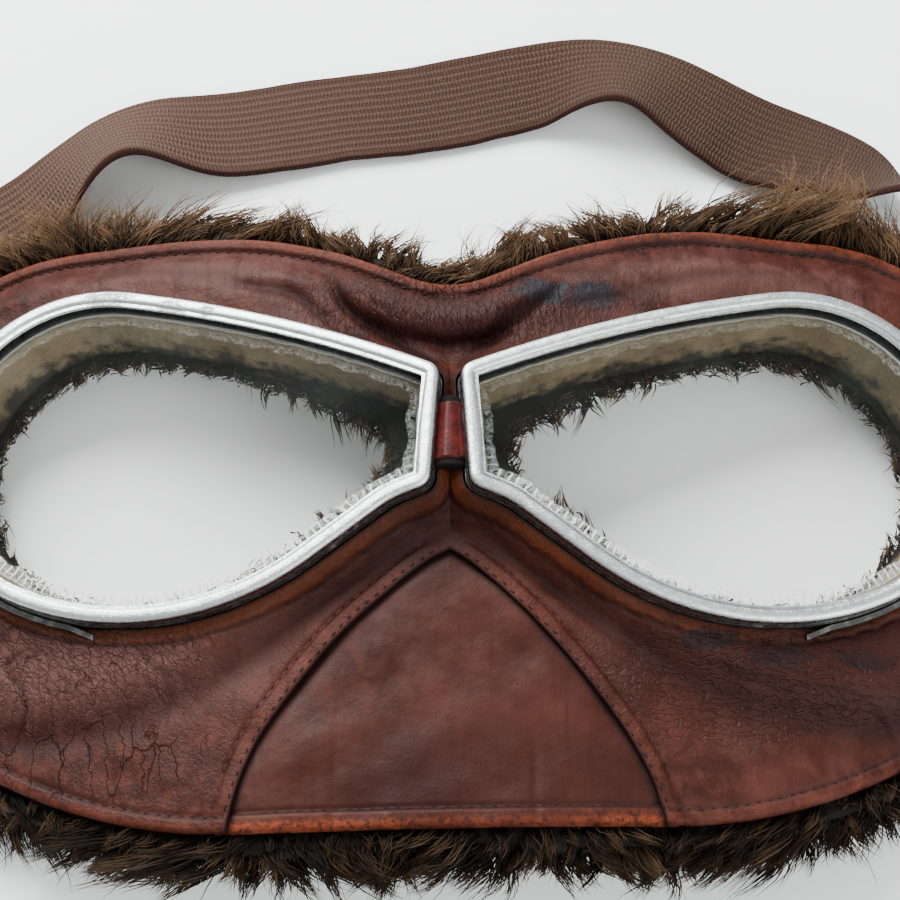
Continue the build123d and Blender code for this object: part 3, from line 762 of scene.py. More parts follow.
def besideSeam(side, distance):
    # the nose seam moved outwards, without its two ends
    normal = leftOf(unit(np.gradient(seamLines[side], axis=0)))
    return (seamLines[side] + normal * np.sign(normal[:, :1] * side) * distance)[2:-3]


def makeSeams():
    # round the hem from one seam's foot to the other's, twice beside each seam, and along the chin
    footRight, footLeft = (math.degrees(math.atan2(*seamLines[side][-1][::-1])) % 360 for side in (1, -1))
    hem, bold, fine = leather["hemWidth"], stitch["radius"], stitch["fine"]
    runs = [(insetLine(hem, *part), leatherZ, bold) for part in ((0, footLeft - 1.5), (footRight + 1.5, 360))]
    for distance, thick in ((0.8, fine), (3.2, stitch["finest"])):
        runs += [(besideSeam(side, distance), leatherZ, thick) for side in (1, -1)]
    runs += [(insetLine(nose["hemWidth"], footLeft + 2, footRight - 2), lambda x, y: noseZ(x, y)[0], fine)]
    return makeStitches(runs)


# Fur lining: a lumpy body under the leather, and locks of curled strands all over its edges
fur = {
    "depth": 14.0, "overhang": 2.4, "cupFoot": 16.1, "perLock": 24, "spacing": 2.45,
    # how far the eye's opening lies inside the rim, by the angle round the right eye, and how far
    # its wall slopes back from top to bottom
    "ledges": [(0, 6.6), (45, 7.4), (90, 6.2), (135, 7.0), (160, 8.8), (180, 9.6), (205, 9.4), (235, 8.6),
               (270, 7.6), (315, 6.2), (360, 6.6)],
    "flare": 4.6,
    "length": 8.0, "radius": 0.17, "seed": 7, "segments": 5, "lockWidth": 0.78, "gather": 0.94,
    # offset out, share down, length, rise of each row of locks round the edge
    "rows": [(0.2, 0.02, 0.75, 0.75), (1.0, 0.12, 1.0, 0.40), (1.8, 0.32, 1.05, 0.15),
             (2.4, 0.60, 0.95, -0.05), (2.2, 0.86, 0.80, -0.2), (0.9, 0.05, 0.95, 0.55)],
    # the same round the eye, but with the longest strand of each row instead of a share
    "eyeRows": [(0.9, 0.0, 2.4, 0.35), (0.1, 0.06, 3.0, 0.1), (0.0, 0.34, 2.8, -0.1), (0.0, 0.66, 2.6, -0.2)],
    "around": 260, "planDepth": 10.0, "eyePlaces": 132, "eyeLock": 10, "underSpots": 1250, "underLock": 5,
    "mostFaces": 185000,
    # rows of the body over the top, round the edge, along the underside and up the opening's wall
    "bandRows": (30, 5, 18, 8), "bulge": 1.2,
    # share of stray strands, side wave, and how much of the sweep turns the root and bends the tip
    "stray": 0.12, "wave": 0.085, "sweep": (0.35, 0.72), "tuft": 0.60, "shortest": 5.0, "lumps": 0.7,
}


def eyeHole(count):
    # the right eye's opening in the fur from above: the rim's line less the ledge along each ray
    # from the eye's middle, its corners smoothed by a moving average; also the rays' directions
    away = rimPlan(fur["planDepth"]) - eyeMiddle
    radius = np.linalg.norm(away, axis=1)
    angle = anglesOf(away)
    slope = np.maximum(np.abs((rimNormals * away).sum(1) / radius), 0.6)
    ledge = tableAt(np.degrees(angle) % 360, fur["ledges"])
    angles = np.linspace(-math.pi, math.pi, 360, endpoint=False)
    reach = np.interp(angles, angle, radius - ledge / slope, period=2 * math.pi)
    for _ in range(3):
        reach = averaged(reach, 6, "wrap")
    line = evenly(eyeMiddle + pointing(angles) * reach[:, None], count, True)
    return line, unit(line - eyeMiddle)


def furBase(side):
    # rays again: a closed band that runs under the leather from the eye's opening to past the hem,
    # round the outer edge, back along the resting side and up the opening's sloping wall
    inner, away = eyeHole(fur["around"])
    inner = inner + away * (0.45 * wavyNoise(inner * [side, 1], 1 / 5.0, 43, 3))[:, None]
    right = maskRight(-math.radians(89.8))
    boundary = np.vstack([right, [[0, right[-1, 1]], [0, right[0, 1]]]])
    outer = rayHits(eyeMiddle, anglesOf(away), boundary)
    onLine = outer[:, 0] < 0.05
    outer = outer + away * np.where(onLine, 0.6, fur["overhang"])[:, None]
    top, outside, under, wall = fur["bandRows"]
    t = np.concatenate([np.linspace(0, 1, top), np.ones(outside), np.linspace(1, 0, under), np.zeros(wall)])
    down = np.concatenate([np.zeros(top), np.linspace(0.15, 0.85, outside), np.ones(under),
                           np.linspace(0.93, 0.06, wall)])
    start = inner[None] + away[None] * (fur["flare"] * down)[:, None, None]
    plan = start + (outer[None] - start) * t[:, None, None]
    bulge = np.sin(math.pi * down) * fur["bulge"] * (t > 0.5)
    plan = plan + away[None] * (bulge[:, None] * np.where(onLine, 0, 1)[None])[..., None]
    x, y = plan[..., 0].ravel(), plan[..., 1].ravel()
    high = furTop(x, y)
    edge = smoothStep(lineGap(np.stack([x, y], 1), maskLine, True)[0], 0, 5)
    low = np.maximum(archZ(x) - face["leather"] - fur["depth"], 0.0)
    depth = down.repeat(len(inner))
    lump = wavyNoise(np.stack([x * side, y, depth * 9], 1), 1 / 5.5, 41, 3)
    z = high + (low - high) * depth
    z = z + lump * fur["lumps"] * smoothStep(depth, 0.1, 0.8)
    z = z - 0.5 * (1 - smoothStep(depth, 0, 0.2)) * (1 - edge)
    z = np.maximum(z, 0.15)
    points = np.stack([x * side, y, z], 1)
    return settle(points), gridFaces(len(t), len(inner), True, True)


def furTop(x, y):
    # just under the leather, and under the eyecup's foot inside the rim's line
    line = rimPlan(fur["planDepth"])
    across = np.stack([np.abs(x), y], 1)
    reach = np.hypot(*(across - eyeMiddle).T) - rayLimit(line, across - eyeMiddle)
    inside = lineGap(across, evenly(line, rim["coarseSamples"], True), True)[0] * np.where(reach < 0, 1, -1)
    under = archZ(x) - face["leather"] - 0.35
    foot = np.minimum(rimZ(x, fur["cupFoot"]) - 0.2, under)
    return under + (foot - under) * smoothStep(inside, 1.6, 3.8)


def strandMesh(paths, radius, tone):
    # each strand is a three-sided tube round its path, narrowing to its tip
    count, rings = len(paths), fur["segments"]
    along = unit(np.diff(paths, axis=1))
    side = unit(np.cross(along, [0.31, 0.22, 0.92]))
    other = np.cross(along, side)
    t = np.linspace(0, 1, rings + 1)
    wide = radius[:, None] * (1 - 0.9 * t[:-1] ** 1.5)[None]
    turn = np.arange(3) * 2 * math.pi / 3
    ring = paths[:, :-1, None, :] + wide[..., None, None] * (
        side[:, :, None] * np.cos(turn)[:, None] + other[:, :, None] * np.sin(turn)[:, None])
    points = np.concatenate([ring.reshape(count, -1, 3), paths[:, -1:]], 1)
    block = 3 * rings + 1
    a = np.arange(3 * rings - 3)
    b = a + np.tile([1, 1, -2], rings - 1)
    last = 3 * (rings - 1) + np.arange(3)
    one = np.concatenate([np.stack([a, b, b + 3], 1), np.stack([a, b + 3, a + 3], 1),
                          np.stack([last, np.roll(last, -1), np.full(3, block - 1)], 1), [[2, 1, 0]]])
    faces = (one[None] + (np.arange(count) * block)[:, None, None]).reshape(-1, 3)
    layers = {"tip": np.tile(np.append(np.repeat(t[:-1], 3), 1.0), count), "tone": np.repeat(tone, block)}
    return points.reshape(-1, 3), faces, layers


def lockField(places, aims, bends, lengths, tones, perLock, rng):
    # a lock's strands start round one place, draw together towards its tip and curve with it:
    # root + scatter (1 - gather t) + aim t + bend t squared, plus a small wave of their own
    locks = len(places)
    index = np.repeat(np.arange(locks), perLock)
    count = len(index)
    aims = unit(aims)
    t = np.linspace(0, 1, fur["segments"] + 1)[None, :, None]
    scatter = rng.normal(0, fur["lockWidth"], (count, 3)) * [1, 1, 0.6]
    stray = rng.random(count) < fur["stray"]
    gather = np.where(stray, 0.1, fur["gather"])[:, None, None]
    reach = lengths[index] * rng.uniform(0.55, 1.1, count)
    own = rng.normal(0, 0.065, (count, 3)) * np.where(stray, 2.6, 1.0)[:, None]
    path = places[index][:, None] + scatter[:, None] * (1 - gather * t)
    path = path + (aims[index] + own)[:, None] * (t * reach[:, None, None])
    path = path + bends[index][:, None] * (t ** 2 * reach[:, None, None])
    phase = rng.uniform(0, 6.28, locks)[index] + rng.normal(0, 0.5, count)
    wave = np.sin(phase[:, None] + t[..., 0] * 5.2) - np.sin(phase)[:, None]
    across = np.cross(aims[index], [0, 0, 1.0])
    path = path + across[:, None] * (wave * fur["wave"] * reach[:, None])[..., None]
    path[..., 2] = np.maximum(path[..., 2], 0.15)
    radius = fur["radius"] * rng.uniform(0.6, 1.25, count)
    tone = np.clip((tones + rng.normal(0, 0.13, locks))[index] + rng.normal(0, 0.07, count), 0, 1)
    return strandMesh(path, radius, tone)


def furToneAndShade(x, y):
    # light and thick at both ends of the brow; lighter towards the brow and darker along the chin, painted
    # light and shade from above
    tone = 0.42 + 0.28 * smoothStep(y, 20, 45) - 0.27 * smoothStep(-y, 30, 60)
    return tone + 0.28 * smoothStep(np.abs(x - 2), 44, 74) * smoothStep(y, 20, 42)


def sweepOf(x, rng):
    # which way a lock curls along the edge: patches that lie left and right, mostly right
    return 0.30 + 0.75 * np.sin(x / 8.5 + 1.3 + 0.6 * np.sin(x / 23.0)) + rng.normal(0, 0.35, len(x))


def makeFringe():
    # rows of locks rooted round the lining's outer edge, leaning outwards and curling sideways
    rng = np.random.default_rng(fur["seed"])
    outward = outwardAt(maskLine)
    fields = []
    for out, down, size, rise in fur["rows"]:
        count = int(ringLength(maskLine) / fur["spacing"])
        pick = (np.arange(count) + rng.uniform(0, 1.0, count)) / count * len(maskLine)
        index = pick.astype(int) % len(maskLine)
        if (out, down) == fur["rows"][-1][:2]:      # the last row grows on the brow side only
            index = index[maskLine[index, 1] > 14]
            count = len(index)
        away = outward[index]
        spot = maskLine[index] + away * (out + rng.normal(0, 0.35, count))[:, None]
        high = archZ(spot[:, 0]) - face["leather"] - 0.5
        low = np.maximum(archZ(spot[:, 0]) - face["leather"] - fur["depth"], 0.2)
        z = high + (low - high) * np.clip(down + rng.normal(0, 0.05, count), 0, 1)
        upper = smoothStep(spot[:, 1], 5, 36)
        ends = smoothStep(np.abs(spot[:, 0] - 2), 40, 72) * upper
        tuft = fur["tuft"] * bell(spot[:, 0] - 64, 14) * upper       # the tall tuft over the right brow
        length = fur["length"] * size * (0.95 + 0.12 * upper + 0.45 * ends + tuft)
        length = length * rng.uniform(0.55, 1.35, count)
        slider = smoothStep(spot[:, 0], 78, 90) * upper      # short where the slider passes
        length = np.minimum(length, fur["shortest"] + 30.0 * (1 - slider))
        sweep = sweepOf(spot[:, 0], rng)[:, None]
        side = -leftOf(away)
        turn, curl = fur["sweep"]
        aim = np.column_stack([away + side * turn * sweep, rise + rng.normal(0, 0.15, count)])
        bend = np.column_stack([side * curl * sweep - away * 0.12,
                                -0.22 - 0.25 * rise + rng.normal(0, 0.15, count)])
        fields.append((np.column_stack([spot, z]), aim, bend, length, furToneAndShade(spot[:, 0], spot[:, 1])))
    return fields


def makeEyeFringe():
    # short curls all round each eye's opening: on its ledge, over its edge and down its wall,
    # longest towards the nose
    rng = np.random.default_rng(fur["seed"] + 1)
    fields = []
    for side in (1, -1):
        hole, away = eyeHole(fur["eyePlaces"])
        nasal = smoothStep(-away[:, 0], 0.2, 0.95)
        line, inward = hole * [side, 1], -away * [side, 1]
        for out, down, longest, rise in fur["eyeRows"]:
            spot = line - inward * (out + fur["flare"] * down) + rng.normal(0, 0.5, line.shape)
            high = rimZ(spot[:, 0], fur["cupFoot"]) - 0.5
            low = np.maximum(archZ(spot[:, 0]) - 16, 0.3)
            z = np.maximum(high + (low - high) * (down + rng.uniform(-0.04, 0.06, len(line))), 0.3)
            length = rng.uniform(0.9, longest, len(line)) * (1 + 0.55 * nasal)
            length = length * (1 - 0.45 * smoothStep(-away[:, 1], 0.1, 0.5))
            across = leftOf(inward) * rng.normal(0, 0.6, (len(line), 1))
            aim = np.column_stack([inward + across, rise + rng.normal(0, 0.2, len(line))])
            bend = np.column_stack([across * 1.3, np.full(len(line), -0.3)])
            tone = np.clip(0.34 + rng.normal(0, 0.12, len(line)), 0, 1)
            fields.append((np.column_stack([spot, z]), aim, bend, length, tone))
    return fields


def makeUnderFur():
    # short curls all over the resting side
    rng = np.random.default_rng(fur["seed"] + 2)
    spots = rng.uniform([-112, -64], [112, 48], (fur["underSpots"], 2))
    toMask = lineGap(spots, maskLine, True)[0]
    inside = np.hypot(*spots.T) < rayLimit(maskLine, spots, 0)
    across = np.stack([np.abs(spots[:, 0]), spots[:, 1]], 1) - eyeMiddle
    solid = np.hypot(*across.T) > rayLimit(eyeHole(fur["around"])[0], across) + fur["flare"]
    spots = spots[inside & (toMask > 1.5) & solid]
    low = np.maximum(archZ(spots[:, 0]) - face["leather"] - fur["depth"], 0.0)
    aim = np.column_stack([rng.normal(0, 1, (len(spots), 2)), np.full(len(spots), -0.2)])
    bend = np.column_stack([rng.normal(0, 0.6, (len(spots), 2)), np.full(len(spots), -0.2)])
    place = np.column_stack([spots, low + 1.2])
    return [(place, aim, bend, rng.uniform(2.5, 4.5, len(spots)), np.full(len(spots), 0.35))]


def rayLimit(line, offsets, centre=eyeMiddle):
    # how far a closed line lies from its centre in the direction of each offset
    away = line - centre
    return np.interp(anglesOf(offsets), anglesOf(away), np.hypot(*away.T), period=2 * math.pi)


def makeFur(finish):
    # the two bodies, then every field of locks from left to right in meshes of a limited size
    rng = np.random.default_rng(fur["seed"] + 3)
    made = []
    for side, word in sideWords.items():
        points, faces = furBase(side)
        # the body takes the root colour and a third of the tone: painted shade in the depth of the fleece
        layers = {"tip": np.zeros(len(points)), "tone": furToneAndShade(points[:, 0], points[:, 1]) * 0.3}
        made.append(meshFrom("furBody" + word, points, faces, layers))
    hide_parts("fur_lining_right", "fur_lining_centre")
    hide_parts("fur_lining_left")
    groups = {"furFringe": (makeFringe(), fur["perLock"]), "furEyes": (makeEyeFringe(), fur["eyeLock"]),
              "furUnder": (makeUnderFur(), fur["underLock"])}
    for name, (fields, perLock) in groups.items():
        places, aims, bends, lengths, tones = (np.concatenate(part) for part in zip(*fields))
        places = settle(places)
        most = int(fur["mostFaces"] / (fur["segments"] * 6 - 2) / perLock)
        order = np.argsort(places[:, 0])
        for number, first in enumerate(range(0, len(order), most)):
            some = order[first:first + most]
            points, faces, layers = lockField(places[some], aims[some], bends[some], lengths[some],
                                              tones[some], perLock, rng)
            made.append(meshFrom(name + str(number + 1), points, faces, layers))
    for piece in made:
        paint(piece, finish)
    return made


# Eyecups: suede sleeves between the rims and the fur
cup = {"top": 4.6, "depth": 15.6, "wall": 1.15, "inset": 1.35, "lean": 14.0, "noseLean": 6.0, "corner": 8.0,
       "samples": 14, "gathers": (0.14, 0.06)}      # heights of the broad and the fine puckers


def makeEyecup(side):
    # a closed profile down the outside and up the inside, leaning inwards, puckered as suede gathers
    t = np.linspace(0, 1, cup["samples"])
    depth = cup["top"] + (cup["depth"] - cup["top"]) * t
    lean = (depth - cup["top"]) * math.tan(math.radians(cup["lean"]))
    offsets = np.concatenate([-cup["inset"] - lean, (-cup["inset"] - cup["wall"] - lean)[::-1]])
    depths, share = thereAndBack(depth), thereAndBack(t)
    line, normals = rimLine(cup["corner"])
    run = np.arange(len(line))[:, None] / len(line) * 2 * math.pi
    broad, fine = cup["gathers"]
    pucker = (broad * np.sin(run * 43 + 2.6 * np.sin(run * 9)) + fine * np.sin(run * 131)) * share
    inner = np.repeat([0.0, 1.0], len(t))
    nasal = smoothStep(-normals[:, :1], 0.3, 0.95)
    steeper = math.tan(math.radians(cup["lean"] + cup["noseLean"])) - math.tan(math.radians(cup["lean"]))
    slant = (depths - cup["top"]) * steeper
    points, faces = rimSweep(line, normals, offsets, depths, side, (pucker * inner - nasal * slant, 0))
    # the deep layer is the share down the wall, which the suede paints as shade
    piece = meshFrom("eyecup" + sideWords[side], points, faces, {"deep": np.tile(share, len(line))})
    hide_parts("eyecup_" + sideWords[side].lower())
    return piece


# Bright rolled face of each front rim: a thin crowned shell over the flat one
plate = {"outer": 0.06, "inner": -2.88, "crown": 0.42, "skirt": 1.05, "samples": 26, "slim": 0.42,
         "dents": 0.05, "dentSeed": 71, "ridge": 0.14, "under": 0.75, "underSamples": 5}


def makePlate(side):
    # half an ellipse across the rim's face, a fine step near its inner edge, closed underneath
    turn = np.linspace(0, math.pi, plate["samples"])
    middle, half = (plate["outer"] + plate["inner"]) / 2, (plate["outer"] - plate["inner"]) / 2
    flat = np.sign(np.cos(turn)) * np.abs(np.cos(turn)) ** 0.75
    offsets = middle + half * flat
    depths = plate["skirt"] * (1 - np.sin(turn) ** 0.55) - plate["crown"] * np.sin(turn)
    profile = np.abs(flat)
    count = plate["underSamples"]
    under = np.linspace(plate["inner"] + 0.15, plate["outer"] - 0.15, count)
    offsets = np.concatenate([offsets, under])
    depths = np.concatenate([depths, np.full(count, plate["under"])])
    line, normals = rimLine(rim["corner"])
    dents = plate["dents"] * wavyNoise(line, 1 / 6.0, plate["dentSeed"] + side, 3)[:, None]
    ridge = plate["ridge"] * smoothStep(-offsets, 1.95, 2.15)[None] * smoothStep(-line[:, 1:], -4, 8)
    slim = plate["slim"] * smoothStep(-offsets, 1.0, 2.8)[None] * smoothStep(line[:, 1:], 2, 14)
    points, faces = rimSweep(line, normals, offsets, depths, side, (slim, dents + ridge))
    # 1 at the rolled edges and underneath, where the finish paints grime and painted shade
    layers = {"edgeGrimeAndShade": np.tile(np.concatenate([smoothStep(profile, 0.72, 1.0), np.ones(count)]), len(line))}
    return meshFrom("rimFace" + sideWords[side], points, faces, layers)


# A dried bead of cement inside each lens's edge
bead = {"depth": 3.02, "near": -2.6, "far": -5.4, "thick": 0.12, "corner": 5.0, "samples": 7,
        "wander": 0.6, "seed": 51, "ring": 14}


def makeBead(side):
    # a thin closed ribbon against the lens's back, whose inner edge wanders in and out
    line, normals = rimLine(bead["corner"])
    place = np.arange(len(line)) / len(line)
    ring = pointing(2 * math.pi * place) * bead["ring"]
    wander = bead["wander"] * wavyNoise(ring, 1 / 2.2, bead["seed"] + side, 4)
    low = smoothStep(-line[:, 1], -4, 16)
    far = bead["far"] + wander - 0.4 * low
    across = thereAndBack(np.linspace(0, 1, bead["samples"]))
    offsets = (far[:, None] - bead["near"]) * across
    depths = bead["depth"] + bead["thick"] * np.repeat([0, 1], bead["samples"])
    points, faces = rimSweep(line, normals, np.full(len(across), bead["near"]), depths, side, (offsets, 0))
    layers = {"edge": np.tile(across, len(line)), "low": np.repeat(low, len(across)),
              "runAt": np.repeat(place * ringLength(line), len(across))}
    return meshFrom("lensCement" + sideWords[side], points, faces, layers)


# Strap: ribbed elastic that lies flat over the brow and stands on edge round the turns
strap = {
    "width": 19.0, "thickness": 1.7, "lift": 0.4, "rise": 92.0, "halfSpan": 155.02, "turn": 18.02,
    "crest": 50.0, "ringX": 121.0, "ringY": -5.0, "ringHeight": 5.2, "slot": 6.2, "wire": 2.2,
    "corners": [(1.0, -0.054), (1.0, 0.28), (0.182, 0.974), (-0.39, 0.783), (-1.0, 0.28), (-1.0, -0.054)],
    "lean": [(0.0, 0), (0.02, 0), (0.085, 66), (0.11, 72), (0.287, 72), (0.294, 50), (0.30, 32),
             (0.306, 26), (0.32, 22), (0.36, 0), (0.4, 16), (0.42, 31), (0.44, 19), (0.46, 1), (0.49, 0),
             (0.52, 0), (0.56, 0), (0.6, 4), (0.62, 7), (0.635, 25), (0.65, 39), (0.665, 40),
             (0.68, 34), (0.7, 6), (0.74, 0), (0.8, 72), (0.89, 72), (0.915, 66), (0.98, 0),
             (1.0, 0)],
    "shift": [(0, 0), (0.286, 0), (0.306, 2.3), (0.32, 2.7), (0.36, 2.0), (0.4, 2.9),
             (0.42, 3.4), (0.44, 2.9), (0.46, 1.4), (0.49, 1.0), (0.52, 0.7), (0.56, 1.9),
             (0.6, 1.8), (0.62, 2.6), (0.635, 3.5), (0.65, 3.9), (0.665, 3.0), (0.68, 0.8),
             (0.7, -2.4), (0.74, -4.0), (0.82, 0), (1, 0)],
    "clear": 3.15, "drop": 0.05, "ribs": 13, "ribHeight": 0.16, "sections": 420,
    "loopInner": 1.42, "loopThickness": 2.0, "edgeWave": 0.25, "wave": 0.18,
}


def strapRoute():
    # runs between corners, with an arc tangent to both at each corner, evenly spaced
    barX = strap["ringX"] + strap["slot"] + 2 * strap["wire"]
    inner = np.array(strap["corners"]) * [strap["halfSpan"], strap["rise"]]
    points = np.vstack([[barX, inner[0, 1]], inner, [-barX, inner[-1, 1]]])
    radii = [strap[key] for key in ("turn", "turn", "crest", "crest", "turn", "turn")]
    arcs = [cornerArc(*points[k:k + 3], radius, 48) for k, radius in enumerate(radii)]
    return evenly(np.vstack([points[:1], *arcs, points[-1:]]), strap["sections"])


def makeStrapBand():
    # a ribbed cross-section turned by the strap's lean at each share of the route, its lower edge
    # settled on the table
    route = strapRoute()
    count = len(route)
    share = np.linspace(0, 1, count)
    lean, shift = np.radians(tableAt(share, strap["lean"])), tableAt(share, strap["shift"])
    for _ in range(3):
        lean, shift = averaged(lean, 3), averaged(shift, 3)
    along = unit(np.gradient(route, axis=0))
    outward = np.stack([along[:, 1], -along[:, 0], np.zeros(count)], 1)
    down = np.array([0, 0, -1.0])
    across = outward * np.cos(lean)[:, None] + down * np.sin(lean)[:, None]
    up = np.cross(np.column_stack([along, np.zeros(count)]), across)
    settled = (strap["width"] / 2 + strap["clear"]) * np.sin(lean) + 1.1 * np.cos(lean) + strap["lift"]
    ease = np.clip(np.minimum(share, 1 - share) / strap["drop"], 0, 1)
    z = strap["ringHeight"] + (settled - strap["ringHeight"]) * ease
    middle = np.column_stack([route, z]) + outward * shift[:, None]
    half, thick = strap["width"] / 2, strap["thickness"] / 2
    w = np.linspace(-1, 1, strap["ribs"] * 6 + 1)
    rib = strap["ribHeight"] * (np.abs(np.cos(w * strap["ribs"] * math.pi / 2)) ** 0.6 - 1)
    s = thereAndBack(w) * half
    n = thereAndBack((thick + rib) * np.maximum(rounded((1 - np.abs(w)) / 0.07), 0.12), -1)
    wave = wavyNoise(np.column_stack([share * 424, share * 0]), 1 / 30, 61, 3)[:, None]
    edgeWave = strap["edgeWave"] * wave * (np.abs(s)[None] / half) ** 3 * np.sign(s)[None]
    points = middle[:, None] + across[:, None] * (s + edgeWave)[..., None]
    points = (points + up[:, None] * (n + strap["wave"] * wave)[..., None]).reshape(-1, 3)
    length = np.concatenate([[0], np.cumsum(np.linalg.norm(np.diff(route, axis=0), axis=1))])
    layers = {"runAt": np.repeat(length, len(s)), "acrossAt": np.tile(s + half, count),
              "edge": np.tile(smoothStep(np.abs(s), half - 1.3, half - 0.3), count)}
    return meshFrom("strapBand", points, sectionTube(count, len(s)), layers)


def makeStrapLoop(side):
    # the strap wrapped once round a ring's bar: a rounded strip section carried round a circle
    turn = np.linspace(0, 2 * math.pi, 48, endpoint=False)
    w = np.linspace(-1, 1, strap["ribs"] * 4 + 1)
    rib = 0.14 * (np.abs(np.cos(w * strap["ribs"] * math.pi / 2)) - 1)
    inner, half = strap["loopInner"], strap["width"] / 2
    outer = inner + strap["loopThickness"] * (0.55 + 0.45 * rounded((1 - np.abs(w)) / 0.1)) + rib
    radius = np.concatenate([outer, np.full(len(w), inner)])
    y = thereAndBack(w) * half
    px = side * (strap["ringX"] + strap["slot"] + strap["wire"]) + radius * np.cos(turn)[:, None]
    pz = strap["ringHeight"] + radius * np.sin(turn)[:, None]
    points = np.stack([px, np.broadcast_to(y + strap["ringY"], px.shape), pz], -1).reshape(-1, 3)
    layers = {"runAt": np.repeat(turn * 3.0, len(radius)), "acrossAt": np.tile(y + half, len(turn)),
              "edge": np.tile(smoothStep(np.abs(y), half - 1.2, half - 0.2), len(turn))}
    faces = gridFaces(len(turn), len(radius), True, True)
    return meshFrom("strapLoop" + sideWords[side], points, faces, layers)


# Leather tabs that hold the rings at the temples
tab = {"root": 98.5, "width": 16.6, "thickness": 1.7, "gap": 0.35, "channel": 0.22, "sections": 90,
       "samples": 41}


def makeTab(side):
    # a strip over the mask's arch to the ring's bar and once round it, with soft edges and a stitch
    # channel; its section is a flattened oval
    bar, sections = strap["ringX"], tab["sections"]
    x = np.linspace(tab["root"], bar - 0.5, 26)
    mid = face["arch"] + tab["gap"] + tab["thickness"] / 2
    over = np.column_stack([x, face["crown"] - face["arch"] + np.sqrt(mid ** 2 - x ** 2)])
    radius = strap["wire"] / 2 + 0.3 + tab["thickness"] / 2
    angles = np.linspace(math.radians(92), math.radians(-215), 30)
    loop = np.column_stack([bar + radius * np.cos(angles), strap["ringHeight"] + radius * np.sin(angles)])
    path = evenly(np.vstack([over[over[:, 0] < bar - 1.5], loop]), sections)
    normal = leftOf(unit(np.gradient(path, axis=0)))
    w = np.linspace(-1, 1, tab["samples"])
    n = thereAndBack(tab["thickness"] / 2 * np.maximum(rounded((1 - np.abs(w)) / 0.12), 0.25), -1)
    n[:len(w)] -= tab["channel"] * bell(np.abs(w) - 0.80, 0.035)
    y = thereAndBack(w) * tab["width"] / 2 + strap["ringY"]
    ends = rounded(np.arange(sections) / 5.0, 0.06)
    ends = np.minimum(ends, ends[::-1])[:, None]
    px, pz = (path[:, k:k + 1] + normal[:, k:k + 1] * n * ends for k in (0, 1))
    points = np.stack([px * side, np.broadcast_to(y, px.shape), pz], -1).reshape(-1, 3)
    toEdge = np.tile(1 - np.abs(thereAndBack(w)), sections)
    # dirt and painted shade along the stitch channel
    layers = {"wear": np.clip(1 - toEdge / 0.14, 0, 1) * 0.35, "dirtAndShade": bell(toEdge - 0.2, 0.03),
              "puffed": np.full(len(points), 0.5), "strip": np.zeros(len(points))}
    piece = meshFrom("templeTab" + sideWords[side], points, sectionTube(sections, len(n)), layers)
    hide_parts("temple_tab_" + sideWords[side].lower())
    return piece


# Bridge: a rolled strip of glossy red leather between the rims, bound with dark thread at its ends
bridge = {"low": -3.2, "high": 10.0, "radius": 1.75, "z": 35.5, "bound": 1.7, "wide": (2.9, 1.95),
          "thread": 0.10, "pitch": 0.42, "rows": 70, "sides": 48}


def makeBridge():
    # a closed tube along y with a flattened underside and a spiral overlap line; its ends close in
    rows, sides = bridge["rows"], bridge["sides"]
    t = np.linspace(0, 1, rows)
    y = bridge["low"] + (bridge["high"] - bridge["low"]) * t
    turn = np.linspace(0, 2 * math.pi, sides, endpoint=False)
    ends = rounded(np.minimum(t, 1 - t) / 0.05, 0.0004)
    bound = smoothStep(y, bridge["low"] + bridge["bound"] - 0.3, bridge["low"] + bridge["bound"]) * (
        1 - smoothStep(y, bridge["high"] - bridge["bound"], bridge["high"] - bridge["bound"] + 0.3))
    thread = bridge["thread"] * np.abs(np.sin(y * math.pi / bridge["pitch"])) * (1 - bound)
    radius = (bridge["radius"] * (0.86 + 0.14 * bound) + thread) * ends
    crease = 1 - 0.05 * bell((turn - 2.2), 0.18)
    wide = np.interp(t, [0, 1], bridge["wide"]) / bridge["radius"]
    x = (radius * wide)[:, None] * np.cos(turn)[None] * crease[None]
    z = bridge["z"] + radius[:, None] * np.sin(turn)[None] * crease[None] * 0.97 - 0.3 * (1 - bound)[:, None]
    points = np.stack([x, np.broadcast_to(y[:, None], x.shape), z], -1).reshape(-1, 3)
    cap = np.array([[k, k + 1, (k + 2) % sides] for k in range(0, sides, 2)])
    first = np.column_stack([cap, np.full(len(cap), len(points))])
    last = np.column_stack([cap[:, ::-1] + (rows - 1) * sides, np.full(len(cap), len(points) + 1)])
    points = np.vstack([points, [[0, end, bridge["z"] - 0.3] for end in (y[0], y[-1])]])
    faces = np.vstack([gridFaces(rows, sides, False, True), first, last])
    layers = {"bound": np.concatenate([np.repeat(1 - bound, sides), [1, 1]])}
    piece = meshFrom("bridgeRoll", points, faces, layers)
    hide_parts("bridge_strap")
    return piece


# Camera: nearly overhead, from the chin side, at the photograph's angle
camera = {"elevation": 70.0, "distance": 380.0, "pixelsPerMm": 5.83, "pixels": 900, "sensor": 36.0,
          "aimZ": 30.0, "rise": 2.0}


def aimed(name, data, place, back):
    # a camera or a light at its place, turned so that its back points the given way
    made = bpy.data.objects.new(name, data)
    bpy.context.scene.collection.objects.link(made)
    made.location = place
    made.rotation_euler = (-back).to_track_quat("-Z", "Y").to_euler()
    return made


